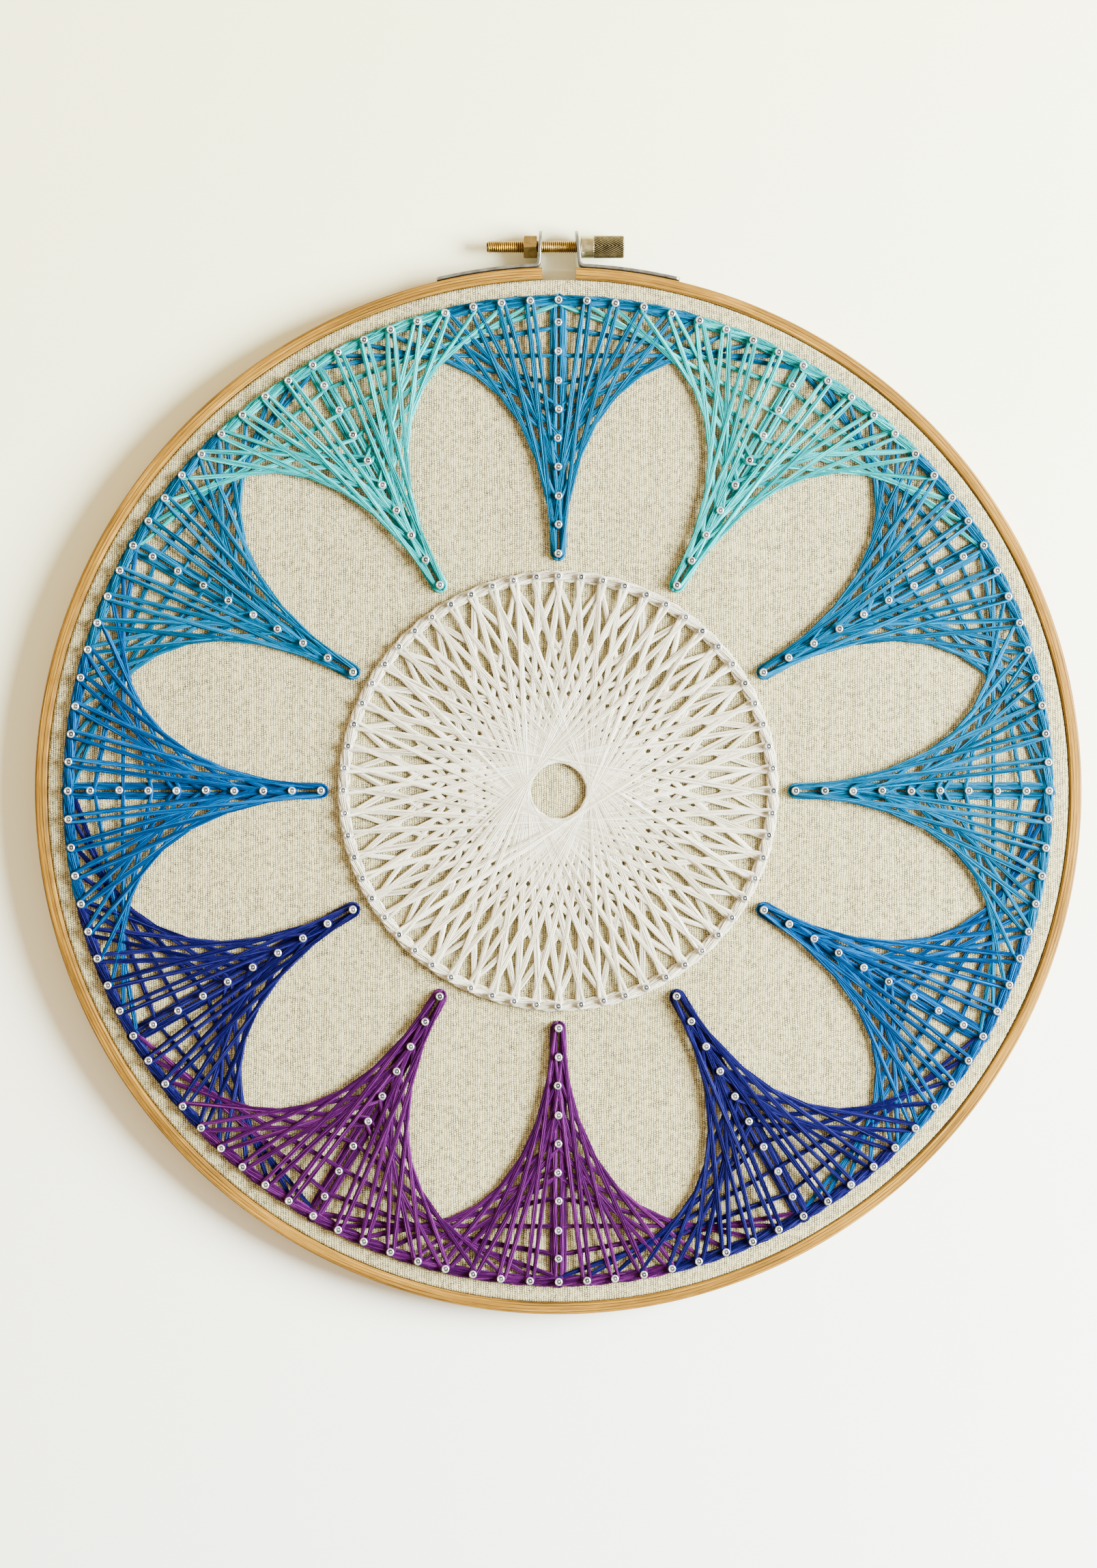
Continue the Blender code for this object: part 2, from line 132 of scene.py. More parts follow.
def polar(radius, degrees):
    """Plan point at a radius and an angle clockwise from the clamp, about the middle of the hoop."""
    angle = np.radians(degrees)
    return np.stack(
        np.broadcast_arrays(HOOP_MIDDLE[0] + radius * np.sin(angle), HOOP_MIDDLE[1] + radius * np.cos(angle)),
        axis=-1,
    )


def smooth_noise(shape, waves, rng):
    """Smooth wander along the last axis: a sum of sine waves of whole and random phase, about -1 to 1."""
    steps = np.linspace(0, FULL_TURN, shape[-1])
    total = np.zeros(shape)
    for wave in range(1, waves + 1):
        phase = rng.uniform(0, FULL_TURN, shape[:-1] + (1,))
        size = rng.normal(0, 1, shape[:-1] + (1,))
        total += size * np.sin(wave * steps + phase) / wave
    return total / math.sqrt(2)


# Meshes

def ring_mesh(name, rings, along, around, closed=False, shade=None):
    """Mesh of one or more tubes from rings of points.

    rings is (tubes, stations, corners, 3). Neighbouring rings are joined by quads whose normals
    point away from the path when the corners turn right-handed about it. Tubes are capped by one
    face at each end, or closed on themselves. along (tubes, stations) and around (corners + 1)
    become the UV map. shade (tubes, stations, and corners if they differ) becomes an attribute: the
    tone of a ply, or how deep a place on metal is.
    """
    tubes, stations, corners = rings.shape[:3]
    index = np.arange(tubes * stations * corners).reshape(tubes, stations, corners)
    following = np.roll(index, -1, axis=1)
    near, far = (index, following) if closed else (index[:, :-1], following[:, :-1])
    quads = np.stack([near, np.roll(near, -1, axis=2), np.roll(far, -1, axis=2), far], axis=-1)
    if closed:
        along = np.concatenate([along, 2 * along[:, -1:] - along[:, -2:-1]], axis=1)
    u_near = np.broadcast_to(along[:, :quads.shape[1], None], quads.shape[:3])
    u_far = np.broadcast_to(along[:, 1:quads.shape[1] + 1, None], quads.shape[:3])
    v_near = np.broadcast_to(around[:-1], quads.shape[:3])
    v_far = np.broadcast_to(around[1:], quads.shape[:3])
    corner_u = np.stack([u_near, u_near, u_far, u_far], axis=-1).reshape(-1)
    corner_v = np.stack([v_near, v_far, v_far, v_near], axis=-1).reshape(-1)
    loops = quads.reshape(-1)
    starts = np.arange(0, loops.size, 4)
    if not closed:
        caps = np.concatenate([index[:, 0, ::-1], index[:, -1, :]]).reshape(-1)
        cap_u = np.repeat(np.concatenate([along[:, 0], along[:, -1]]), corners)
        cap_v = np.concatenate([np.tile(around[:-1][::-1], tubes), np.tile(around[:-1], tubes)])
        starts = np.concatenate([starts, loops.size + np.arange(0, caps.size, corners)])
        loops = np.concatenate([loops, caps])
        corner_u = np.concatenate([corner_u, cap_u])
        corner_v = np.concatenate([corner_v, cap_v])
    mesh = bpy.data.meshes.new(name)
    mesh.vertices.add(index.size)
    mesh.vertices.foreach_set("co", rings.reshape(-1))
    mesh.loops.add(loops.size)
    mesh.loops.foreach_set("vertex_index", loops)
    mesh.polygons.add(starts.size)
    mesh.polygons.foreach_set("loop_start", starts)
    mesh.update(calc_edges=True)
    layer = mesh.uv_layers.new(name="Length")
    layer.data.foreach_set("uv", np.stack([corner_u, corner_v], axis=-1).reshape(-1))
    if shade is not None:
        values = np.broadcast_to(shade.reshape(tubes, stations, -1), rings.shape[:3]).reshape(-1)
        mesh.attributes.new("shade", 'FLOAT', 'POINT').data.foreach_set("value", values)
    mesh.validate()
    mesh.shade_smooth()
    return mesh


def add_piece(name, mesh, material, nodes=(), crease=None):
    """Puts a finished mesh in the scene as a piece that rides on the body and stands for its nodes."""
    if crease is not None:
        mesh.set_sharp_from_angle(angle=math.radians(crease))
    mesh.materials.append(material)
    piece = bpy.data.objects.new(name, mesh)
    bpy.context.scene.collection.objects.link(piece)
    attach(piece, "root")
    if nodes:
        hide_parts(*nodes)
    return piece


def rounded_outline(width, height, radius, steps=3):
    """Rectangle about zero whose corners are quarter circles, turning anticlockwise."""
    quarter = np.linspace(0, math.pi / 2, steps + 1)
    corners = []
    for turn, (sx, sy) in enumerate(((1, 1), (-1, 1), (-1, -1), (1, -1))):
        angle = quarter + turn * math.pi / 2
        corners.append(np.stack([
            sx * (width / 2 - radius) + radius * np.cos(angle),
            sy * (height / 2 - radius) + radius * np.sin(angle),
        ], axis=-1))
    return np.concatenate(corners)


def outline_lengths(outline):
    """Distance round a closed outline at each corner, and back at the first."""
    steps = np.linalg.norm(np.roll(outline, -1, axis=0) - outline, axis=1)
    return np.concatenate([[0.0], np.cumsum(steps)])


def along_screw(radii, stations, turn=0.0):
    """Rings about the screw: a radius for each station and corner, set out square to the axis."""
    corners = radii.shape[1]
    angle = turn + np.arange(corners) * FULL_TURN / corners
    x = np.broadcast_to(stations[:, None], radii.shape)
    y = SCREW_AXIS[1] + radii * np.cos(angle)
    z = SCREW_AXIS[2] + radii * np.sin(angle)
    return np.stack([x, y, z], axis=-1)[None]


# Materials

def node(tree, kind, inputs=None, **settings):
    """Adds a shader node. Each input is a value, or the output that feeds it."""
    made = tree.nodes.new(kind)
    for name, value in settings.items():
        setattr(made, name, value)
    for key, value in (inputs or {}).items():
        if isinstance(value, bpy.types.NodeSocket):
            tree.links.new(value, made.inputs[key])
        else:
            made.inputs[key].default_value = value
    return made


def calc(tree, operation, first, second=0.0, third=0.0):
    """Output of one arithmetic node."""
    return node(tree, "ShaderNodeMath", {0: first, 1: second, 2: third}, operation=operation).outputs[0]


def ramp(tree, factor, stops):
    """Colour that runs through the stops, given as a place and a colour each."""
    made = node(tree, "ShaderNodeValToRGB", {"Fac": factor})
    band = made.color_ramp
    band.elements[0].position, band.elements[0].color = stops[0]
    band.elements[1].position, band.elements[1].color = stops[-1]
    for place, colour in stops[1:-1]:
        band.elements.new(place).color = colour
    return made.outputs["Color"]


def stretched(tree, vector, scale):
    """Coordinates scaled by a different amount on each axis."""
    return node(tree, "ShaderNodeMapping", {"Vector": vector, "Scale": scale}).outputs["Vector"]


def noise(tree, vector, scale, detail=2.0, roughness=0.5):
    """Fractal noise between 0 and 1."""
    made = node(tree, "ShaderNodeTexNoise", {
        "Vector": vector, "Scale": scale, "Detail": detail, "Roughness": roughness,
    })
    return made.outputs["Fac"]


def new_material(name, **sockets):
    """Empty node material with one Principled shader whose plain sockets are set here."""
    material = bpy.data.materials.new(name)
    material.use_nodes = True
    tree = material.node_tree
    shader = tree.nodes["Principled BSDF"]
    for key, value in sockets.items():
        shader.inputs[key.replace("_", " ")].default_value = value
    return material, tree, shader


def surface(tree, shader, colour, height=None, distance=0.0001, strength=1.0, roughness=None):
    """Joins colour, relief and roughness to the shader."""
    tree.links.new(colour, shader.inputs["Base Color"])
    if height is not None:
        bump = node(tree, "ShaderNodeBump", {"Height": height, "Distance": distance, "Strength": strength})
        tree.links.new(bump.outputs["Normal"], shader.inputs["Normal"])
    if roughness is not None:
        tree.links.new(roughness, shader.inputs["Roughness"])


def spread(tree, factor, low, high):
    """Maps 0 to 1 on to another range."""
    return calc(tree, 'MULTIPLY_ADD', factor, high - low, low)


def wood_material(name, settings):
    """Bent strip of pale wood: dark growth lines that run its whole length, streaky grain and fine pores."""
    material, tree, shader = new_material(name, Specular_IOR_Level=0.15)
    uv = node(tree, "ShaderNodeUVMap", uv_map="Length").outputs["UV"]
    wander = noise(tree, stretched(tree, uv, (9.0, 40.0, 1.0)), 1.0, 2.0)
    parts = node(tree, "ShaderNodeSeparateXYZ", {"Vector": uv})
    across = calc(tree, 'MULTIPLY_ADD', wander, 0.0022, parts.outputs["Y"])
    wave = calc(tree, 'MULTIPLY', across, math.pi / settings.growth_pitch)
    swell = calc(tree, 'ABSOLUTE', calc(tree, 'SINE', wave))
    line = calc(tree, 'POWER', calc(tree, 'SUBTRACT', 1.0, swell), 4.0)
    fading = noise(tree, stretched(tree, uv, (14.0, 900.0, 1.0)), 1.0, 1.0)
    line = calc(tree, 'MULTIPLY', line, spread(tree, fading, -0.5, 2.2))
    grain = noise(tree, stretched(tree, uv, (45.0, 3400.0, 1.0)), 1.0, 4.0, 0.6)
    pores = noise(tree, stretched(tree, uv, (300.0, 8000.0, 1.0)), 1.0, 2.0)
    cloud = noise(tree, stretched(tree, uv, (22.0, 300.0, 1.0)), 1.0, 3.0)
    tone = calc(tree, 'MULTIPLY_ADD', grain, 1.5, -0.25)
    tone = calc(tree, 'MULTIPLY_ADD', cloud, 0.9, calc(tree, 'SUBTRACT', tone, 0.45))
    tone = calc(tree, 'MULTIPLY_ADD', pores, 0.5, calc(tree, 'SUBTRACT', tone, 0.25))
    tone = calc(tree, 'MULTIPLY_ADD', line, -0.62, tone)
    colour = ramp(tree, tone, [
        (0.05, linear(settings.dark)), (0.5, linear(settings.middle)), (0.95, linear(settings.light)),
    ])
    height = calc(tree, 'MULTIPLY_ADD', grain, 0.6, calc(tree, 'MULTIPLY', pores, 0.4))
    surface(tree, shader, colour, height, 0.00012, 0.6, spread(tree, pores, 0.42, 0.66))
    return material


def canvas_material(name, settings):
    """Coarse plain weave: upright ribs of beads, with pinholes where the gaps between yarns cross.

    A rib is the size of a sine across the cloth and a bead the same along it, half a bead on from the
    last rib's. The gaps between yarns darken the tone as painted shade, and a pinhole, dark by the
    product of both gaps, is painted shade too, so the yarn tops stay lightest as painted light. Yarns
    differ in tone, and thick spots and seed specks break the weave up.
    """
    material, tree, shader = new_material(name, Roughness=0.92, Sheen_Weight=0.08, Sheen_Roughness=0.6,
                                          Specular_IOR_Level=0.12)
    place = node(tree, "ShaderNodeTexCoord").outputs["Object"]
    parts = node(tree, "ShaderNodeSeparateXYZ", {"Vector": place})
    drift = noise(tree, place, 70.0, 2.0)
    jitter = noise(tree, place, 900.0, 1.0)
    across = calc(tree, 'MULTIPLY_ADD', drift, 0.0012, parts.outputs["X"])
    across = calc(tree, 'MULTIPLY_ADD', jitter, 0.00036, across)
    along = calc(tree, 'MULTIPLY_ADD', drift, -0.0010, parts.outputs["Y"])
    along = calc(tree, 'MULTIPLY_ADD', jitter, -0.00044, along)
    yarn_x = calc(tree, 'DIVIDE', across, settings.warp_pitch)
    which = calc(tree, 'FLOOR', yarn_x)
    warp_tone = node(tree, "ShaderNodeTexWhiteNoise", {"W": which}, noise_dimensions='1D')
    stagger = calc(tree, 'MULTIPLY_ADD', which, 0.5, calc(tree, 'MULTIPLY', warp_tone.outputs["Value"], 0.3))
    yarn_y = calc(tree, 'ADD', calc(tree, 'DIVIDE', along, settings.weft_pitch), stagger)
    rib = calc(tree, 'ABSOLUTE', calc(tree, 'SINE', calc(tree, 'MULTIPLY', yarn_x, math.pi)))
    bead = calc(tree, 'ABSOLUTE', calc(tree, 'SINE', calc(tree, 'MULTIPLY', yarn_y, math.pi)))
    rib_gap = calc(tree, 'POWER', calc(tree, 'SUBTRACT', 1.0, rib), 1.3)
    bead_gap = calc(tree, 'POWER', calc(tree, 'SUBTRACT', 1.0, bead), 1.3)
    spot = node(tree, "ShaderNodeCombineXYZ", {"X": which, "Y": calc(tree, 'FLOOR', yarn_y)}).outputs[0]
    bead_noise = node(tree, "ShaderNodeTexWhiteNoise", {"Vector": spot}, noise_dimensions='2D')
    bead_tone = bead_noise.outputs["Value"]
    slub = noise(tree, stretched(tree, place, (900.0, 420.0, 1.0)), 1.0, 3.0, 0.6)
    fibre = noise(tree, place, 3000.0, 2.0)
    # Painted shade: pinholes and the gaps between yarns darken the tone below.
    hole = calc(tree, 'POWER', calc(tree, 'MULTIPLY', rib_gap, bead_gap), 0.32)
    hole = calc(tree, 'MULTIPLY', hole, calc(tree, 'POWER', bead_tone, 1.9))
    tone = calc(tree, 'MULTIPLY_ADD', rib_gap, -0.22, 1.00)
    tone = calc(tree, 'MULTIPLY_ADD', bead_gap, -0.22, tone)
    tone = calc(tree, 'MULTIPLY_ADD', hole, -2.0, tone)
    tone = calc(tree, 'MULTIPLY_ADD', bead_tone, 0.18, calc(tree, 'SUBTRACT', tone, 0.09))
    tone = calc(tree, 'MULTIPLY_ADD', warp_tone.outputs["Value"], 0.10, calc(tree, 'SUBTRACT', tone, 0.05))
    tone = calc(tree, 'MULTIPLY_ADD', slub, 0.36, calc(tree, 'SUBTRACT', tone, 0.18))
    tone = calc(tree, 'MULTIPLY_ADD', fibre, 0.60, calc(tree, 'SUBTRACT', tone, 0.30))
    # The ramp runs from painted shade in pinholes and on yarn sides, through the cloth's own colour, to
    # painted light on yarn tops.
    colour = ramp(tree, tone, [
        (0.0, linear(settings.hole)), (0.25, linear(settings.shade)),
        (0.6, linear(settings.middle)), (0.95, linear(settings.light)),
    ])
    speck = calc(tree, 'GREATER_THAN', noise(tree, place, 620.0, 0.0), 0.80)
    fleck = calc(tree, 'MULTIPLY', speck, calc(tree, 'GREATER_THAN', fibre, 0.5))
    mixed = node(tree, "ShaderNodeMix", {0: calc(tree, 'MULTIPLY', fleck, 0.75), 6: colour,
                                         7: linear(settings.speck)}, data_type='RGBA')
    height = calc(tree, 'MULTIPLY_ADD', calc(tree, 'POWER', bead, 0.6), 0.4, calc(tree, 'POWER', rib, 0.6))
    height = calc(tree, 'MULTIPLY_ADD', fibre, 0.45, height)
    height = calc(tree, 'MULTIPLY_ADD', slub, 0.60, height)
    surface(tree, shader, mixed.outputs[2], height, 0.00013, 0.8)
    return material


def thread_material(name):
    """Stranded cotton: a tone for each ply, fibres along it whose light streaks are partly painted
    highlights, and highlights of its own colour.
    """
    dark, middle, light = (linear(shade) for shade in THREAD_SHADES[name][1:])
    gleam = tuple(value / max(light[:3]) for value in light[:3])
    material, tree, shader = new_material(
        f"{name}_stranded_cotton", Roughness=0.46, Specular_IOR_Level=0.20, Specular_Tint=(*gleam, 1.0),
        Sheen_Weight=0.06, Sheen_Roughness=0.4, Sheen_Tint=(*gleam, 1.0),
    )
    uv = node(tree, "ShaderNodeUVMap", uv_map="Length").outputs["UV"]
    ply = node(tree, "ShaderNodeAttribute", attribute_name="shade").outputs["Fac"]
    fibres = noise(tree, stretched(tree, uv, (190.0, 11.0, 1.0)), 1.0, 4.0, 0.65)
    streaks = noise(tree, stretched(tree, uv, (35.0, 4.0, 1.0)), 1.0, 2.0)
    tone = calc(tree, 'MULTIPLY_ADD', fibres, 1.60, -0.80)
    tone = calc(tree, 'MULTIPLY_ADD', streaks, 0.40, calc(tree, 'SUBTRACT', tone, 0.20))
    tone = calc(tree, 'MULTIPLY_ADD', ply, 0.90, tone)
    # The light end of the ramp, on the brightest fibres, is partly painted highlight along the filaments and
    # partly the plies' own tone.
    colour = ramp(tree, tone, [(0.10, dark), (0.48, middle), (0.90, light)])
    surface(tree, shader, colour, fibres, 0.00014, 1.0)
    return material


def metal_material(name):
    """Plain metal with fine brushing and faint stains, and painted shade that darkens its hollows."""
    dark, light, roughness, brushing, metallic = METALS[name]
    material, tree, shader = new_material(name, Metallic=metallic, Roughness=roughness)
    place = node(tree, "ShaderNodeTexCoord").outputs["Object"]
    depth = node(tree, "ShaderNodeAttribute", attribute_name="shade").outputs["Fac"]
    stains = noise(tree, place, 420.0, 4.0, 0.6)
    scratches = noise(tree, stretched(tree, place, (500.0, 9000.0, 5000.0)), 1.0, 2.0)
    tone = calc(tree, 'MULTIPLY_ADD', scratches, brushing, calc(tree, 'MULTIPLY', stains, 1 - brushing))
    # Painted shade: the shade attribute darkens hollows and grooves, down to a near-black copy of the dark
    # colour.
    tone = calc(tree, 'MULTIPLY_ADD', depth, -0.6, tone)
    hollow_shade = tuple(0.28 * value for value in dark)
    colour = ramp(tree, tone, [(0.0, linear(hollow_shade)), (0.30, linear(dark)), (0.72, linear(light))])
    rough = spread(tree, stains, roughness - 0.08, roughness + 0.14)
    surface(tree, shader, colour, scratches, 0.00002, 0.5, rough)
    return material


def floor_material(settings):
    """Matt surface whose tint runs smoothly from the far left to the near right as painted light, warmer far
    off, with a very faint mottle.
    """
    material, tree, shader = new_material("pale_floor", Roughness=0.9, Specular_IOR_Level=0.1)
    place = node(tree, "ShaderNodeTexCoord").outputs["Object"]
    parts = node(tree, "ShaderNodeSeparateXYZ", {"Vector": place})
    nearer = calc(tree, 'MULTIPLY', parts.outputs["Y"], -2.0)
    toward = calc(tree, 'MULTIPLY_ADD', parts.outputs["X"], 0.8, nearer)
    mottle = noise(tree, place, 6.0, 3.0)
    toward = calc(tree, 'MULTIPLY_ADD', mottle, 0.06, calc(tree, 'ADD', toward, 0.47))
    # Painted light: the far floor's yellow stands for warmer light beyond the clamp, fading to the near
    # floor's white.
    colour = ramp(tree, toward, [(0.0, (*settings.floor_far, 1.0)), (1.0, (*settings.floor_near, 1.0))])
    surface(tree, shader, colour)
    return material


# Threads

def wound_runs(start, end, side_start, side_end, reach, z_start, z_end, straight=8):
    """Paths of threads that each go from behind one pin, straight on, to behind another.

    A quarter circle round the first pin, on the side given by a sign, leads into the straight part,
    and a quarter circle round the second ends it. The height eases from one pin to the other.
    """
    run = end - start
    ahead = run / np.linalg.norm(run, axis=-1, keepdims=True)
    aside = np.stack([-ahead[:, 1], ahead[:, 0]], axis=-1)
    arc = np.radians([90.0, 60.0, 30.0, 0.0])[None, :, None]
    side_start = np.broadcast_to(side_start, len(start))[:, None, None]
    side_end = np.broadcast_to(side_end, len(start))[:, None, None]
    reach = np.broadcast_to(reach, len(start))[:, None, None]
    first = start[:, None] + reach * (
        aside[:, None] * side_start * np.cos(arc) - ahead[:, None] * np.sin(arc))
    back = arc[:, ::-1]
    last = end[:, None] + reach * (
        aside[:, None] * side_end * np.cos(back) + ahead[:, None] * np.sin(back))
    share = np.linspace(0, 1, straight + 2)[1:-1]
    middle = first[:, -1:] * (1 - share[None, :, None]) + last[:, :1] * share[None, :, None]
    plan = np.concatenate([first, middle, last], axis=1)
    ease = np.concatenate([np.zeros(4), share * share * (3 - 2 * share), np.ones(4)])
    z_start, z_end = (np.broadcast_to(z, len(start))[:, None] for z in (z_start, z_end))
    height = z_start + (z_end - z_start) * ease
    return np.concatenate([plan, height[..., None]], axis=-1)


def open_share(stations, straight_from=3):
    """Share of its full width that a thread spreads to: little round a pin, all of it between pins."""
    place = np.arange(stations)
    ends = np.minimum(place, place[::-1])
    return 0.30 + 0.70 * np.clip((ends - straight_from + 1) / 2.0, 0, 1)


def ply_rings(paths, plies, half_width, half_height, ply_radius, turns, opened, rng, corners=4):
    """Rings of every ply of every thread.

    A ply keeps to an ellipse round its thread's path, half_width aside and half_height up, turning
    by the given turns from end to end and wandering a little. Round a pin the ellipse is drawn in
    sideways by opened and stands up instead. Returns the rings, lengths and tones of the plies.
    """
    threads, stations = paths.shape[:2]
    slope = np.gradient(paths, axis=1)
    steps = np.linalg.norm(np.diff(paths, axis=1), axis=-1)
    length = np.concatenate([np.zeros((threads, 1)), np.cumsum(steps, axis=1)], axis=1)
    flat = np.linalg.norm(slope[..., :2], axis=-1, keepdims=True)
    aside = np.concatenate([-slope[..., 1:2], slope[..., :1], np.zeros_like(flat)], axis=-1) / flat
    up = np.array([0.0, 0.0, 1.0])
    share = length / length[:, -1:]
    width = half_width * rng.uniform(0.85, 1.2, (threads, 1, 1))
    phase = (
        FULL_TURN * np.arange(plies)[None, :, None] / plies
        + rng.uniform(0, FULL_TURN, (threads, 1, 1))
        + FULL_TURN * turns * rng.uniform(0.7, 1.3, (threads, 1, 1)) * share[:, None]
    )
    wander = smooth_noise((threads, plies, stations), 3, rng)
    lift = smooth_noise((threads, plies, stations), 3, rng)
    sideways = opened * (width * np.cos(phase) + 0.035 * MM * wander)
    height = half_height * (1.6 - 0.6 * opened)
    upward = height * np.sin(phase) + 0.03 * MM * lift * opened
    centre = paths[:, None] + aside[:, None] * sideways[..., None] + up * upward[..., None]
    radius = ply_radius * rng.uniform(0.85, 1.15, (threads, plies, 1, 1, 1))
    angle = np.arange(corners) * FULL_TURN / corners
    around = (
        aside[:, None, :, None] * np.cos(angle)[:, None] + up * np.sin(angle)[:, None]
    )
    rings = (centre[..., None, :] + radius * around).reshape(threads * plies, stations, corners, 3)
    lengths = np.broadcast_to(length[:, None], (threads, plies, stations))
    lengths = (lengths + rng.uniform(0, 9, (threads, plies, 1))).reshape(-1, stations)
    tones = rng.uniform(0.28, 0.72, (threads, plies, 1))
    tones = tones + 0.08 * smooth_noise((threads, plies, stations), 2, rng)
    return rings, lengths, tones.reshape(-1, stations)


def thread_mesh(name, parts, corners=4):
    """One mesh of several sets of plies, whose stations may differ, joined piece by piece."""
    around = np.linspace(0, 1, corners + 1)
    meshes = [ring_mesh(name, rings, lengths, around, shade=tones) for rings, lengths, tones in parts]
    if len(meshes) == 1:
        return meshes[0]
    whole = [bpy.data.objects.new(f"{name}_{i}", mesh) for i, mesh in enumerate(meshes)]
    for part in whole:
        bpy.context.scene.collection.objects.link(part)
    with bpy.context.temp_override(active_object=whole[0], selected_editable_objects=whole):
        bpy.ops.object.join()
    mesh = whole[0].data
    bpy.data.objects.remove(whole[0], do_unlink=True)
    return mesh


def row_pins(settings):
    """Radii of the pins of one spoke, from the outermost in."""
    return np.linspace(settings.row_outer, settings.row_inner, PINS_PER_SPOKE)


def spoke_paths(spoke, settings, threads):
    """Threads of one spoke: the zigzag between its row and the ring pins on both sides."""
    step = 360 / (SPOKES * PINS_PER_SPOKE)
    here = 360 / SPOKES * spoke
    rows = polar(row_pins(settings), here)
    low, high = threads.lowest, threads.highest
    layers = np.linspace(low, high, PINS_PER_SPOKE)
    if spoke % 2:
        layers = layers + threads.crossing_lift
    paths = []
    for side in (-1, 1):
        out = np.arange(PINS_PER_SPOKE)
        ring_out = polar(settings.ring_radius, here + side * step * (PINS_PER_SPOKE - out))
        paths.append(wound_runs(ring_out, rows[out], side, side, settings.wrap, layers, layers))
        back = np.arange(threads.doubled_from, PINS_PER_SPOKE - 1)
        ring_back = polar(settings.ring_radius, here + side * step * (PINS_PER_SPOKE - 1 - back))
        paths.append(wound_runs(
            rows[back], ring_back, side, side, settings.wrap, layers[back], layers[back + 1],
        ))
    return np.concatenate(paths)


def row_paths(spoke, settings, threads):
    """Long threads that bind one spoke's row of pins from end to end."""
    here = 360 / SPOKES * spoke
    inner = np.repeat(polar(settings.row_inner, here)[None], 4, axis=0)
    outer = np.repeat(polar(settings.ring_radius, here)[None], 4, axis=0)
    reach = settings.wrap * np.array([1.0, 1.0, 1.9, 1.9])
    side = np.array([-1, 1, -1, 1])
    height = threads.lowest + np.array([0.5, 0.5, 0.1, 0.1]) * MM
    return wound_runs(inner, outer, side, side, reach, height, height, straight=14)


def band_path(radius, first, last, pins, offset, bulge, height, steps=6):
    """One thread that follows a ring of pins at an offset, bulging between them."""
    place = np.linspace(0, pins, pins * steps + 1)
    degrees = first + (last - first) * place / pins
    between = np.sin(math.pi * (place % 1.0)) ** 2
    plan = polar(radius + offset + bulge * between, degrees)
    return np.concatenate([plan, np.full((len(place), 1), height)], axis=-1)[None]


def band_parts(radius, first, last, pins, settings, threads, rng):
    """Wound band between pins: a twisted outer thread, a straight inner one and the crossings."""
    wrap = settings.wrap
    steps = 6
    stations = pins * steps + 1
    between = np.sin(math.pi * (np.linspace(0, pins, stations) % 1.0)) ** 2
    opened = 0.45 + 0.55 * between
    outer = band_path(radius, first, last, pins, wrap, 0.0, threads.lowest + 0.30 * MM)
    inner = band_path(radius, first, last, pins, -wrap, 0.0, threads.lowest + 0.30 * MM)
    size = threads.ply_radius
    parts = [
        ply_rings(outer, 7, 0.55 * MM, 0.30 * MM, size, pins * 0.35, opened, rng),
        ply_rings(inner, 6, 0.50 * MM, 0.26 * MM, size, pins * 0.25, opened, rng),
    ]
    ends = polar(radius, np.linspace(first, last, pins + 1))
    crossing = wound_runs(
        ends[:-1], ends[1:], -1, 1, wrap * 0.9, threads.lowest + 0.70 * MM, threads.lowest + 0.95 * MM,
        straight=4,
    )
    opened = open_share(crossing.shape[1])
    parts.append(ply_rings(crossing, 9, 0.75 * MM, 0.26 * MM, size, 0.3, opened, rng))
    return parts


# Sizes and colours that a user would change

def size_prop(name, description, default, low=0.0, high=1.0):
    return FloatProperty(name=name, description=description, default=float(default), min=low, max=high,
                         unit='LENGTH', precision=5)


def tint_prop(name, description, default):
    return FloatVectorProperty(name=name, description=description, default=default, size=3, min=0.0,
                               max=255.0)


class HoopWoodSettings(PropertyGroup):
    outer_radius: size_prop("Outer radius", "Outside of the outer ring", (RING_HIGH[0] - RING_LOW[0]) / 2)
    wall: size_prop("Wall", "Thickness of the outer ring", 0.0035)
    inner_wall: size_prop("Inner wall", "Thickness of the inner ring", 0.0040)
    edge_round: size_prop("Edge rounding", "Radius of the sanded edges", 0.0007)
    split_left: size_prop("Left end", "Place of the outer ring's left end", -0.0046, -1.0)
    split_right: size_prop("Right end", "Place of the outer ring's right end", 0.0052, -1.0)
    growth_pitch: size_prop("Growth lines", "Distance between growth lines", 0.00085)
    dark: tint_prop("Dark wood", "Growth lines, in 8-bit colour", (49, 31, 8))
    middle: tint_prop("Wood", "Most of the wood, in 8-bit colour", (129, 90, 20))
    light: tint_prop("Light wood", "Palest grain, in 8-bit colour", (184, 140, 56))


class CanvasSettings(PropertyGroup):
    thickness: size_prop("Thickness", "Thickness of the canvas", 0.0010)
    squeeze: size_prop("Squeeze", "How far it swells out against the outer ring", 0.00022)
    bend: size_prop("Bend", "Radius where it turns down over the inner ring", 0.0010)
    warp_pitch: size_prop("Warp pitch", "Distance between upright yarns", 0.00071)
    weft_pitch: size_prop("Weft pitch", "Distance between cross yarns", 0.00064)
    # Pinholes and yarn sides are painted shade, and yarn tops painted light, over the cloth's own colour.
    hole: tint_prop("Pinholes", "Gaps between the yarns, in 8-bit colour", (52, 47, 38))
    shade: tint_prop("Yarn sides", "Sides of the yarns, in 8-bit colour", (98, 92, 76))
    middle: tint_prop("Yarns", "Most of the cloth, in 8-bit colour", (134, 125, 88))
    light: tint_prop("Yarn tops", "Tops of the yarns, in 8-bit colour", (204, 193, 148))
    speck: tint_prop("Specks", "Bits of seed in the yarn, in 8-bit colour", (44, 34, 24))


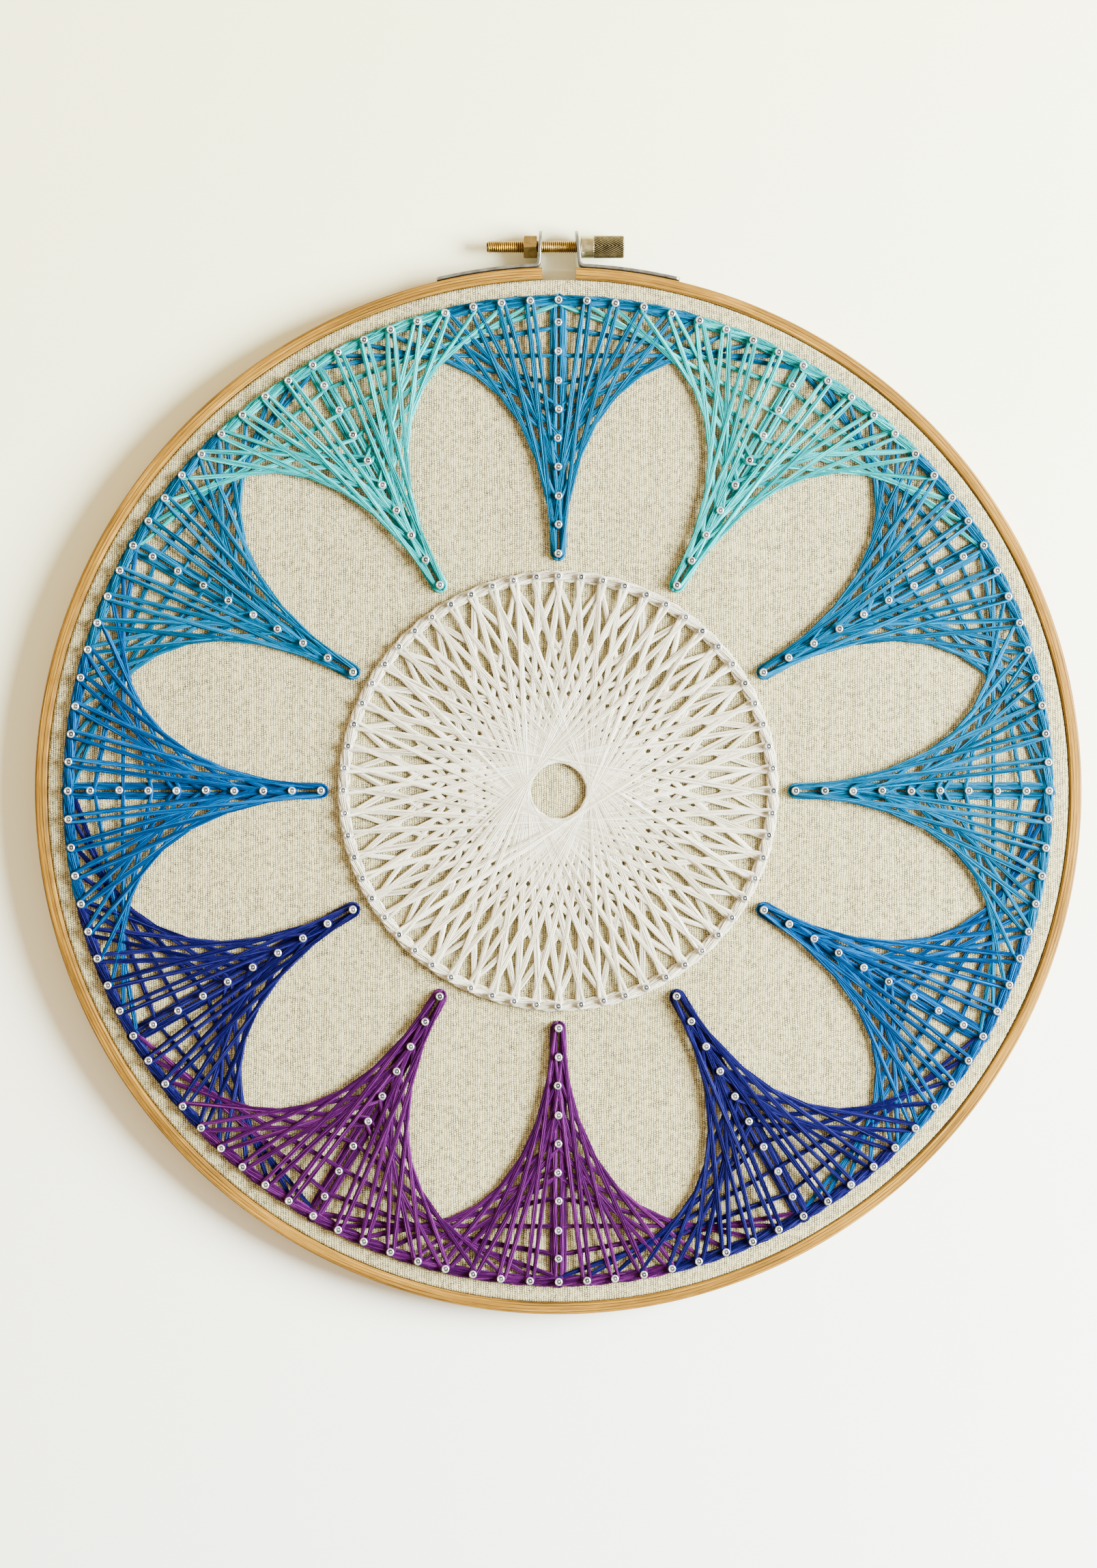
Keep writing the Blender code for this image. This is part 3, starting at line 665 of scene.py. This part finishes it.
class PinSettings(PropertyGroup):
    ring_radius: size_prop("Rim pins", "Radius of the ring of pins at the rim", 0.1426)
    row_outer: size_prop("Row outside", "Radius of the outermost pin of a spoke", 0.1360)
    row_inner: size_prop("Row inside", "Radius of the innermost pin of a spoke", 0.0690)
    centre_radius: size_prop("Centre pins", "Radius of the ring of pins round the middle", 0.0625)
    wrap: size_prop("Wrap", "Distance from a pin's axis to the thread round it", 0.00095)
    shank: size_prop("Shank", "Radius of a pin's shank", 0.00052)
    head: size_prop("Head", "Radius of a pin's head", 0.00113)
    top: size_prop("Top", "Height of the heads", BAND_HIGH[2])
    tip: size_prop("Tip", "Height of the points behind the cloth", 0.0052)


class ThreadSettings(PropertyGroup):
    plies: IntProperty(name="Plies", description="Plies in one thread", default=6, min=2, max=12)
    ply_radius: size_prop("Ply", "Radius of one ply", 0.00027)
    doubled_from: IntProperty(
        name="Doubled from", description="Pin of a spoke from which threads go both ways",
        default=3, min=0, max=PINS_PER_SPOKE - 1,
    )
    half_width: size_prop("Half width", "Half the width that a thread spreads to", 0.00045)
    half_height: size_prop("Half height", "Half the height of a thread", 0.00022)
    lowest: size_prop("Lowest thread", "Height of the first thread on a pin", CLOTH_HIGH[2] + 0.0007)
    highest: size_prop("Highest thread", "Height of the last thread on a pin", CLOTH_HIGH[2] + 0.0019)
    crossing_lift: size_prop("Crossing lift", "How much higher every second spoke's threads lie", 0.0005)


class ClampSettings(PropertyGroup):
    strap_thickness: size_prop("Strap", "Thickness of the strap", 0.00095)
    strap_reach: size_prop("Strap reach", "How far the straps reach to each side", 0.0355)
    strap_bend: size_prop("Strap bend", "Radius of the bend below an ear", 0.0014)
    ear_radius: size_prop("Ear", "Radius of an ear's round end", 0.0046)
    foot_corner: size_prop("Foot corner", "Radius of the corners of a strap's foot", 0.0011)
    thread_pitch: size_prop("Thread pitch", "Pitch of the screw", 0.0006)
    thread_depth: size_prop("Thread depth", "Depth of the screw's thread", 0.00034)
    collar_end: size_prop("Collar end", "Where the smooth collar gives way to the knurl", 0.0103)
    nut_corner: size_prop("Nut", "Radius of the nut's corners", 0.00375)
    nut_bore: size_prop("Nut's bore", "Radius of the hole through the nut", 0.0019)
    nut_cut: size_prop("Nut's corner cut", "Depth of the cone that cuts the nut's corners", 0.00055)
    nut_turn: FloatProperty(name="Nut's turn", description="How far the nut is turned on the screw",
                            subtype='ANGLE', default=math.radians(-22))


class StageSettings(PropertyGroup):
    # The far floor's yellow and its fade to the near floor's white are painted light.
    floor_far: FloatVectorProperty(name="Far floor", description="Colour of the floor beyond the clamp",
                                   subtype='COLOR', size=3, default=(0.97, 0.96, 0.60), min=0.0, max=1.0)
    floor_near: FloatVectorProperty(name="Near floor", description="Colour of the floor below the hoop",
                                    subtype='COLOR', size=3, default=(0.97, 0.97, 0.97), min=0.0, max=1.0)
    floor_size: size_prop("Floor size", "Length of a side of the floor", 3.0, 0.0, 10.0)
    camera_distance: size_prop("Camera distance", "From the camera to the front of the hoop", 1.15, 0.1, 10.0)
    key_power: FloatProperty(name="Key light", description="Power of the main light", default=175.0, min=0.0)
    fill_power: FloatProperty(name="Fill light", description="Power of the fill light", default=2.0, min=0.0)
    sky_tilt: FloatProperty(name="Surroundings' tilt", description="How much brighter the far side is",
                            default=0.75, min=0.0, max=1.0)
    sky: FloatProperty(name="Surroundings", description="Strength of the even light", default=1.2, min=0.0)


# Pieces

def strap_line(side, foot_x, top_x, settings, ring_radius):
    """Centre line of a strap in plan, from its tip round the ring, through a bend and up its ear.

    The base follows a circle just outside the ring, the bend is a quarter circle and the ear is
    straight, leaning from foot_x to top_x.
    """
    clearance = 0.3 * MM
    radius = ring_radius + clearance + settings.strap_thickness / 2
    tip = math.degrees(math.asin(settings.strap_reach / radius))
    heel_x = abs(foot_x) + settings.strap_bend
    heel = math.degrees(math.asin(heel_x / radius))
    base = polar(radius, side * (heel + (tip - heel) * np.linspace(1, 0, 40) ** 0.6)) - HOOP_MIDDLE
    turn = np.radians(np.linspace(0, 90, 10)[1:])
    bend = np.stack([
        side * (heel_x - settings.strap_bend * np.sin(turn)),
        base[-1, 1] + settings.strap_bend * (1 - np.cos(turn)),
    ], axis=-1)
    top_y = SCREW_AXIS[1] - HOOP_MIDDLE[1] + settings.ear_radius
    share = np.sin(np.linspace(0, math.pi / 2, 26)[1:])
    ear = np.stack([
        foot_x + (top_x - foot_x) * share,
        bend[-1, 1] + (top_y - bend[-1, 1]) * share,
    ], axis=-1)
    return np.concatenate([base, bend, ear]) + HOOP_MIDDLE


def strap_mesh(name, line, settings):
    """Flat strap with softened edges, round at the ear and at its foot's corners, along its centre line."""
    steps = np.linalg.norm(np.diff(line, axis=0), axis=1)
    reach = np.concatenate([[0.0], np.cumsum(steps)])
    slope = np.gradient(line, axis=0)
    slope /= np.linalg.norm(slope, axis=1, keepdims=True)
    aside = np.stack([slope[:, 1], -slope[:, 0]], axis=-1)
    ear, corner = settings.ear_radius, settings.foot_corner
    short = np.clip(ear - (reach[-1] - reach), 0, None)
    half = np.sqrt(np.clip(ear ** 2 - short ** 2, (ear / 6) ** 2, None))
    missing = np.clip(corner - reach, 0, None)
    half = np.minimum(half, ear - corner + np.sqrt(corner ** 2 - missing ** 2))
    thin = settings.strap_thickness
    unit = rounded_outline(thin, 2.0, 0.25 * thin)
    rise = np.sign(unit[:, 1]) * (1.0 - np.abs(unit[:, 1]))
    plan = line[:, None] + aside[:, None] * unit[None, :, :1]
    height = SCREW_AXIS[2] + np.sign(unit[:, 1]) * half[:, None] - rise
    rings = np.concatenate([plan, height[..., None]], axis=-1)[None]
    return ring_mesh(name, rings, reach[None], outline_lengths(unit * (1.0, settings.ear_radius)))


def thread_radius(angle, stations, outer, settings):
    """Radius of a screw: outer, less a rounded groove that advances one pitch in each turn."""
    phase = stations[:, None] / settings.thread_pitch - angle[None] / FULL_TURN
    wave = np.abs((phase % 1.0) * 2 - 1)
    return outer - settings.thread_depth * (1 - np.clip(wave * 1.25, 0, 1))


def knurl_radius(angle, stations, outer, start):
    """Radius of a knurled barrel: fine slanting ridges that change hand four times round it."""
    folded = np.abs(((angle / FULL_TURN * 4) % 2.0) - 1.0) * (FULL_TURN / 4)
    slant = stations[:, None] * 0.5 + outer * folded[None] * 0.87
    ridge = np.abs(np.sin(slant * math.pi / (0.56 * MM)))
    share = np.clip((stations - start) / (0.3 * MM), 0, 1)[:, None]
    return outer - share * 0.32 * MM * (1 - ridge ** 1.3)


class HOOP_OT_stage(Operator):
    """Floor, soft studio light and the camera straight above the hoop"""
    bl_idname = "hoop.stage"
    bl_label = "Stage"

    def execute(self, context):
        settings = context.scene.hoop_stage
        half = settings.floor_size / 2
        mesh = bpy.data.meshes.new("floor")
        mesh.from_pydata([(-half, -half, 0), (half, -half, 0), (half, half, 0), (-half, half, 0)], [],
                         [(0, 1, 2, 3)])
        mesh.materials.append(floor_material(settings))
        floor = bpy.data.objects.new("floor", mesh)
        context.scene.collection.objects.link(floor)
        for (name, place, width, colour), power in zip(LAMPS, (settings.key_power, settings.fill_power)):
            self.add_light(context, name, place, width, power, colour)
        self.add_room(context, settings)
        self.add_camera(context, settings)
        return {'FINISHED'}

    def add_light(self, context, name, place, width, power, colour):
        """Round soft lamp that points at the middle of the hoop."""
        data = bpy.data.lights.new(name, 'AREA')
        data.shape = 'DISK'
        data.size = width
        data.energy = power
        data.color = colour
        light = bpy.data.objects.new(name, data)
        light.location = place
        aim = Vector((*HOOP_MIDDLE, 0.0)) - light.location
        light.rotation_euler = aim.to_track_quat('-Z', 'Y').to_euler()
        context.scene.collection.objects.link(light)

    def add_room(self, context, settings):
        """Even warm light, brighter from beyond the clamp and dimmer from below the hoop."""
        world = bpy.data.worlds.new("soft_room")
        world.use_nodes = True
        tree = world.node_tree
        background = tree.nodes["Background"]
        background.inputs["Color"].default_value = SKY_COLOUR
        toward = node(tree, "ShaderNodeTexCoord").outputs["Generated"]
        parts = node(tree, "ShaderNodeSeparateXYZ", {"Vector": toward})
        share = calc(tree, 'MULTIPLY_ADD', parts.outputs["Y"], settings.sky_tilt, 1.0)
        tree.links.new(calc(tree, 'MULTIPLY', share, settings.sky), background.inputs["Strength"])
        context.scene.world = world

    def add_camera(self, context, settings):
        """Camera straight above, whose frame is the photograph's at the height of the hoop's front."""
        data = bpy.data.cameras.new("camera")
        data.sensor_width = 36.0
        data.lens = 36.0 * settings.camera_distance / (FRAME_HEIGHT_PX * PIXEL)
        data.dof.use_dof = False
        camera = bpy.data.objects.new("camera", data)
        aside = (FRAME_WIDTH_PX / 2 - HOOP_MIDDLE_PX[0]) * PIXEL
        up = (HOOP_MIDDLE_PX[1] - FRAME_HEIGHT_PX / 2) * PIXEL
        camera.location = (
            HOOP_MIDDLE[0] + aside, HOOP_MIDDLE[1] + up, RING_HIGH[2] + settings.camera_distance,
        )
        context.scene.collection.objects.link(camera)
        context.scene.camera = camera


class HOOP_OT_wood(Operator):
    """Outer ring, split at the clamp, and inner ring of bent wood"""
    bl_idname = "hoop.wood"
    bl_label = "Wooden rings"

    def execute(self, context):
        settings = context.scene.hoop_wood
        material = wood_material("bent_wood", settings)
        self.add_outer(settings, material)
        self.add_inner(settings, material)
        return {'FINISHED'}

    def ring(self, name, outline, middle, low, degrees, closed):
        """Carries an outline round the hoop; its first axis runs inwards so that corners turn outwards."""
        rng = np.random.default_rng(11)
        wobble = 0.02 * MM * smooth_noise((len(degrees),), 6, rng)
        radius = middle - outline[None, :, 0] + wobble[:, None]
        plan = polar(radius, degrees[:, None])
        height = np.broadcast_to(low + outline[:, 1], radius.shape)
        rings = np.concatenate([plan, height[..., None]], axis=-1)[None]
        along = np.radians(degrees)[None] * middle
        return ring_mesh(name, rings, along, outline_lengths(outline), closed=closed)

    def add_outer(self, settings, material):
        height = RING_HIGH[2] - RING_LOW[2]
        outline = rounded_outline(settings.wall, height, settings.edge_round, 4)
        middle = settings.outer_radius - settings.wall / 2
        first = math.degrees(math.asin(settings.split_right / middle))
        last = 360 + math.degrees(math.asin(settings.split_left / middle))
        degrees = np.linspace(first, last, 420)
        mesh = self.ring("outer_ring_wood", outline, middle, RING_LOW[2] + height / 2, degrees, False)
        add_piece("outer_ring_wood", mesh, material, ["outer_ring"], crease=50)

    def add_inner(self, settings, material):
        height = INNER_HIGH[2] - INNER_LOW[2]
        outline = rounded_outline(settings.inner_wall, height, settings.edge_round, 3)
        middle = (INNER_HIGH[0] - INNER_LOW[0]) / 2 - settings.inner_wall / 2
        degrees = np.linspace(0, 360, 361)[:-1]
        mesh = self.ring("inner_ring_wood", outline, middle, INNER_LOW[2] + height / 2, degrees, True)
        add_piece("inner_ring_wood", mesh, material, ["inner_ring"], crease=50)


class HOOP_OT_canvas(Operator):
    """Round of canvas pulled tight over the inner ring and trimmed behind it"""
    bl_idname = "hoop.canvas"
    bl_label = "Canvas"

    def execute(self, context):
        settings = context.scene.hoop_canvas
        outer = (CLOTH_HIGH[0] - CLOTH_LOW[0]) / 2 + settings.squeeze
        inner = outer - settings.thickness
        top, hem = CLOTH_HIGH[2], CLOTH_LOW[2]
        under = top - settings.thickness
        bend = settings.bend
        pole = 0.4 * MM
        quarter = np.linspace(0, math.pi / 2, 6)
        turn = np.stack([outer - bend + bend * np.sin(quarter), top - bend + bend * np.cos(quarter)], axis=-1)
        flat = np.linspace(pole, outer - bend, 50)[:-1]
        hem_round = settings.thickness / 2 * np.stack([np.cos(quarter * 2), -np.sin(quarter * 2)], axis=-1)
        hem_round += ((outer + inner) / 2, hem + settings.thickness / 2)
        back = np.linspace(inner - bend, pole, 40)
        profile = np.concatenate([
            np.stack([flat, np.full(len(flat), top)], axis=-1), turn, hem_round,
            [[inner, under - bend / 2], [inner - bend / 3, under - bend / 8]],
            np.stack([back, np.full(len(back), under)], axis=-1),
        ])
        sides = 240
        degrees = -np.arange(sides) * 360 / sides
        plan = polar(profile[:, None, 0], degrees[None])
        angle = np.radians(degrees)[None]
        slack = np.clip(profile[:, 0] / outer, 0, 1)[:, None]
        tension = np.sin(math.pi * slack) * (0.05 * np.sin(5 * angle + 0.7) + 0.04 * np.sin(11 * angle + 2.1))
        ragged = 0.35 * MM * np.sin(23 * angle + 1.3) * np.sin(7 * angle)
        frayed = np.clip(1 - (profile[:, 1] - hem) / (2 * MM), 0, 1)[:, None]
        height = profile[:, 1][:, None] + tension * MM + np.abs(ragged) * frayed
        rings = np.concatenate([plan, height[..., None]], axis=-1)[None]
        along = np.concatenate([[0.0], np.cumsum(np.linalg.norm(np.diff(profile, axis=0), axis=1))])[None]
        mesh = ring_mesh("canvas", rings, along, np.linspace(0, 1, sides + 1))
        piece = add_piece("canvas", mesh, canvas_material("cream_canvas", settings), ["cloth"])
        return {'FINISHED'}


class HOOP_OT_clamp(Operator):
    """Bent straps, threaded rod, nut and knurled head"""
    bl_idname = "hoop.clamp"
    bl_label = "Clamp"

    def execute(self, context):
        settings = context.scene.hoop_clamp
        steel = metal_material("nickelled_strap")
        ring_radius = context.scene.hoop_wood.outer_radius
        for name, side, foot_x, top_x in EARS:
            line = strap_line(side, foot_x, top_x, settings, ring_radius)
            mesh = strap_mesh(f"strap_{name}", line, settings)
            add_piece(f"strap_{name}", mesh, steel, [f"bracket_{name}"], crease=40)
        self.add_rod(settings, metal_material("screw_brass"))
        self.add_nut(settings, metal_material("nut_brass"))
        self.add_head(settings, metal_material("head_nickel"))
        return {'FINISHED'}

    def add_rod(self, settings, material):
        outer = (ROD_HIGH[1] - ROD_LOW[1]) / 2 + 0.0001
        corners = 28
        stations = np.arange(ROD_LOW[0], ROD_HIGH[0], settings.thread_pitch / 7)
        angle = np.arange(corners) * FULL_TURN / corners
        radii = thread_radius(angle, stations, outer, settings)
        point = np.clip((stations - ROD_LOW[0]) / (0.5 * MM), 0, 1)[:, None]
        radii = radii - 0.35 * MM * (1 - point)
        around = np.linspace(0, FULL_TURN * outer, corners + 1)
        # Painted shade: the groove's depth darkens the brass in it.
        depth = 0.7 * np.clip((outer - radii) / settings.thread_depth, 0, 1)
        mesh = ring_mesh("threaded_rod", along_screw(radii, stations), stations[None], around, shade=depth)
        add_piece("threaded_rod", mesh, material, ["screw_rod"], crease=60)

    def add_nut(self, settings, material):
        """Hexagon whose corners are cut by a cone at both faces, round a bore."""
        low, high = NUT_LOW[0], NUT_HIGH[0]
        flat = settings.nut_corner * math.cos(math.pi / 6)
        bore, bevel = settings.nut_bore, 0.2 * MM
        cut = settings.nut_cut
        cone_slope = 2.2
        sides = 144
        angle = np.arange(sides) * FULL_TURN / sides
        within = (angle - settings.nut_turn) % (FULL_TURN / 6) - math.pi / 6
        hexagon = flat / np.cos(within)
        share = np.linspace(0.0, 1.0, 9)
        cone = flat + cut * cone_slope * share
        low_side = np.minimum(hexagon[:, None], cone[None])
        mouth = np.broadcast_to([bore, bore + bevel], (sides, 2))
        radii = np.concatenate([mouth, low_side, low_side[:, ::-1], mouth[:, ::-1]], axis=1)
        place = np.concatenate([
            [low + bevel, low], low + cut * share, high - cut * share[::-1], [high, high - bevel],
        ])
        y = SCREW_AXIS[1] + radii * np.cos(angle)[:, None]
        z = SCREW_AXIS[2] + radii * np.sin(angle)[:, None]
        x = np.broadcast_to(place, radii.shape)
        rings = np.stack([x, y, z], axis=-1)[None]
        around = np.linspace(0, 2 * (high - low), radii.shape[1] + 1)
        mesh = ring_mesh("hexagon_nut", rings[:, ::-1], angle[None] * flat, around, closed=True)
        add_piece("hexagon_nut", mesh, material, ["hex_nut"], crease=25)

    def add_head(self, settings, material):
        outer = (HEAD_HIGH[1] - HEAD_LOW[1]) / 2
        start, end = HEAD_LOW[0], HEAD_HIGH[0]
        collar_end = settings.collar_end
        corners = 180
        stations = np.concatenate([
            start + np.array([0.0, 0.12, 0.3, 1.2, 2.4]) * MM,
            np.array([collar_end - 0.12 * MM, collar_end]),
            np.linspace(collar_end + 0.08 * MM, end - 0.45 * MM, 78),
            end - np.array([0.3, 0.15, 0.05, 0.0]) * MM,
        ])
        angle = np.arange(corners) * FULL_TURN / corners
        radii = knurl_radius(angle, stations, outer, collar_end)
        # Painted shade: the depth between the knurl's ridges darkens the metal there.
        depth = np.clip((outer - radii) / (0.22 * MM), 0, 1)
        ease = np.clip((stations - start) / (0.25 * MM), 0, 1)[:, None]
        radii = radii - 0.2 * MM * (1 - np.sqrt(ease))
        tail = np.clip((end - stations) / (0.5 * MM), 0, 1)[:, None]
        radii = radii - 0.55 * MM * (1 - np.sqrt(1 - (1 - tail) ** 2))
        around = np.linspace(0, FULL_TURN * outer, corners + 1)
        mesh = ring_mesh("knurled_barrel", along_screw(radii, stations), stations[None], around, shade=depth)
        add_piece("knurled_barrel", mesh, material, ["knurled_head"], crease=50)


class HOOP_OT_pins(Operator):
    """Small nails with cupped heads that hold the threads"""
    bl_idname = "hoop.pins"
    bl_label = "Pins"

    def execute(self, context):
        settings = context.scene.hoop_pins
        material = metal_material("bright_pin")
        step = 360 / (SPOKES * PINS_PER_SPOKE)
        rim = polar(settings.ring_radius, np.arange(SPOKES * PINS_PER_SPOKE) * step)
        spokes = np.arange(SPOKES)[:, None] * 360 / SPOKES
        rows = polar(row_pins(settings)[None], spokes).reshape(-1, 2)
        centre = polar(settings.centre_radius, np.arange(CENTRE_PINS) * 360 / CENTRE_PINS)
        for number, (name, places) in enumerate((("rim", rim), ("row", rows), ("centre", centre))):
            mesh = self.pin_mesh(f"{name}_pins", places, settings, number)
            add_piece(f"{name}_pins", mesh, material, crease=50)
        return {'FINISHED'}

    def pin_mesh(self, name, places, settings, seed):
        """Turned pins: a profile of radius and height round each place, tilted a little."""
        rng = np.random.default_rng(31 + seed)
        head, shank, top, tip = settings.head, settings.shank, settings.top, settings.tip
        rim, cup = 0.28 * MM, 0.34 * MM
        # Radius, height and depth of painted shade, from the point up, over the rim and down into the cup
        outline = np.array([
            (0.05 * MM, tip, 0.0),
            (shank, tip + 1.2 * MM, 0.0),
            (shank, top - 0.75 * MM, 0.8),
            (head - 0.1 * MM, top - 0.62 * MM, 0.5),
            (head, top - rim, 0.0),
            (head - 0.08 * MM, top - 0.1 * MM, 0.0),
            (head - rim, top, 0.0),
            (head - 0.5 * MM, top - 0.2 * MM, 0.5),
            (0.42 * head, top - cup, 0.85),
            (0.3 * head, top - 0.2 * MM, 0.6),
            (0.06 * MM, top - 0.12 * MM, 0.3),
        ])
        profile, hollow_shade = outline[:, :2], outline[:, 2]
        corners = 12
        angle = np.arange(corners) * FULL_TURN / corners
        ring = profile[:, None, :1] * np.stack([np.cos(angle), np.sin(angle)], axis=-1)[None]
        lean = rng.normal(0, 0.012, (len(places), 1, 1, 2))
        shift = rng.normal(0, 0.06 * MM, (len(places), 1, 1, 2))
        sink = rng.uniform(-0.18 * MM, 0.0, (len(places), 1, 1))
        above = (profile[:, 1] - CLOTH_HIGH[2])[None, :, None, None]
        plan = places[:, None, None] + ring[None] + lean * above + shift
        height = np.broadcast_to(profile[None, :, None, 1] + sink, plan.shape[:3])
        rings = np.concatenate([plan, height[..., None]], axis=-1)
        length = np.concatenate([[0.0], np.cumsum(np.linalg.norm(np.diff(profile, axis=0), axis=1))])
        along = np.broadcast_to(length, (len(places), len(profile)))
        around = np.linspace(0, 1, corners + 1)
        return ring_mesh(name, rings, along, around, shade=np.broadcast_to(hollow_shade, along.shape))


class HOOP_OT_rim_bands(Operator):
    """Wound band along the pins at the rim, in the colour of each spoke"""
    bl_idname = "hoop.rim_bands"
    bl_label = "Rim bands"

    def execute(self, context):
        settings, threads = context.scene.hoop_pins, context.scene.hoop_threads
        turn = 360 / SPOKES
        step = turn / PINS_PER_SPOKE
        first = -step * (PINS_PER_SPOKE // 2)
        for spoke, thread in enumerate(SPOKE_THREADS):
            rng = np.random.default_rng(50 + spoke)
            start = first + turn * spoke
            parts = band_parts(
                settings.ring_radius, start, start + turn, PINS_PER_SPOKE, settings, threads, rng,
            )
            name = f"rim_band_{spoke + 1:02d}"
            add_piece(name, thread_mesh(name, parts), thread_finish(thread),
                      [f"ring_band_{spoke + 1:02d}"])
        return {'FINISHED'}


class HOOP_OT_spokes(Operator):
    """Threads strung from each row of pins to the rim"""
    bl_idname = "hoop.spokes"
    bl_label = "Spoke threads"

    def execute(self, context):
        settings, threads = context.scene.hoop_pins, context.scene.hoop_threads
        for spoke, thread in enumerate(SPOKE_THREADS):
            rng = np.random.default_rng(80 + spoke)
            sizes = (threads.plies, threads.half_width, threads.half_height, threads.ply_radius)
            net = spoke_paths(spoke, settings, threads)
            rows = row_paths(spoke, settings, threads)
            parts = [
                ply_rings(net, *sizes, 0.5, open_share(net.shape[1]), rng),
                ply_rings(rows, *sizes, 1.5, open_share(rows.shape[1]), rng),
            ]
            name = f"spoke_threads_{spoke + 1:02d}"
            add_piece(name, thread_mesh(name, parts), thread_finish(thread),
                      [f"spoke_web_{spoke + 1:02d}"])
        return {'FINISHED'}


class HOOP_OT_centre_net(Operator):
    """White net of straight threads across the ring of pins in the middle"""
    bl_idname = "hoop.centre_net"
    bl_label = "Centre net"

    def execute(self, context):
        settings, threads = context.scene.hoop_pins, context.scene.hoop_threads
        rng = np.random.default_rng(7)
        pins = polar(settings.centre_radius, np.arange(CENTRE_PINS) * 360 / CENTRE_PINS)
        parts = band_parts(settings.centre_radius, 0, 360, CENTRE_PINS, settings, threads, rng)
        for layer, (skip, every) in enumerate(CHORDS):
            starts = np.arange(0, CENTRE_PINS, every)
            ends = (starts + skip) % CENTRE_PINS
            levels = threads.lowest + 0.45 * MM * layer + rng.uniform(0, 0.4 * MM, CENTRE_PINS)
            chords = wound_runs(
                pins[starts], pins[ends], -1, -1, settings.wrap, levels[starts], levels[ends], straight=12,
            )
            parts.append(ply_rings(
                chords, threads.plies + 2, threads.half_width * 1.35, threads.half_height, threads.ply_radius,
                0.4, open_share(chords.shape[1]), rng,
            ))
        add_piece("centre_net", thread_mesh("centre_net", parts), thread_finish("white"),
                  ["centre_web"])
        return {'FINISHED'}


def thread_finish(thread):
    """The thread's material, made the first time that it is asked for."""
    return bpy.data.materials.get(f"{thread}_stranded_cotton") or thread_material(thread)


class VIEW3D_PT_hoop(Panel):
    """Lists the pieces of the hoop in the order that they are made"""
    bl_idname = "VIEW3D_PT_hoop"
    bl_label = "Thread Hoop"
    bl_space_type = 'VIEW_3D'
    bl_region_type = 'UI'
    bl_category = "Hoop"

    def draw(self, context):
        for operator in OPERATORS:
            self.layout.operator(operator.bl_idname)


SETTINGS = {
    "hoop_wood": HoopWoodSettings,
    "hoop_canvas": CanvasSettings,
    "hoop_pins": PinSettings,
    "hoop_threads": ThreadSettings,
    "hoop_clamp": ClampSettings,
    "hoop_stage": StageSettings,
}
OPERATORS = (
    HOOP_OT_stage, HOOP_OT_wood, HOOP_OT_canvas, HOOP_OT_clamp, HOOP_OT_pins, HOOP_OT_rim_bands,
    HOOP_OT_spokes, HOOP_OT_centre_net,
)


def register():
    for owner in (*SETTINGS.values(), *OPERATORS, VIEW3D_PT_hoop):
        bpy.utils.register_class(owner)
    for name, group in SETTINGS.items():
        setattr(bpy.types.Scene, name, PointerProperty(type=group))


def unregister():
    for name in SETTINGS:
        delattr(bpy.types.Scene, name)
    for owner in reversed((*SETTINGS.values(), *OPERATORS, VIEW3D_PT_hoop)):
        bpy.utils.unregister_class(owner)


def main():
    register()
    bpy.ops.hoop.stage()
    bpy.ops.hoop.wood()
    bpy.ops.hoop.canvas()
    bpy.ops.hoop.clamp()
    bpy.ops.hoop.pins()
    bpy.ops.hoop.rim_bands()
    bpy.ops.hoop.spokes()
    bpy.ops.hoop.centre_net()


if __name__ == "__main__":
    main()
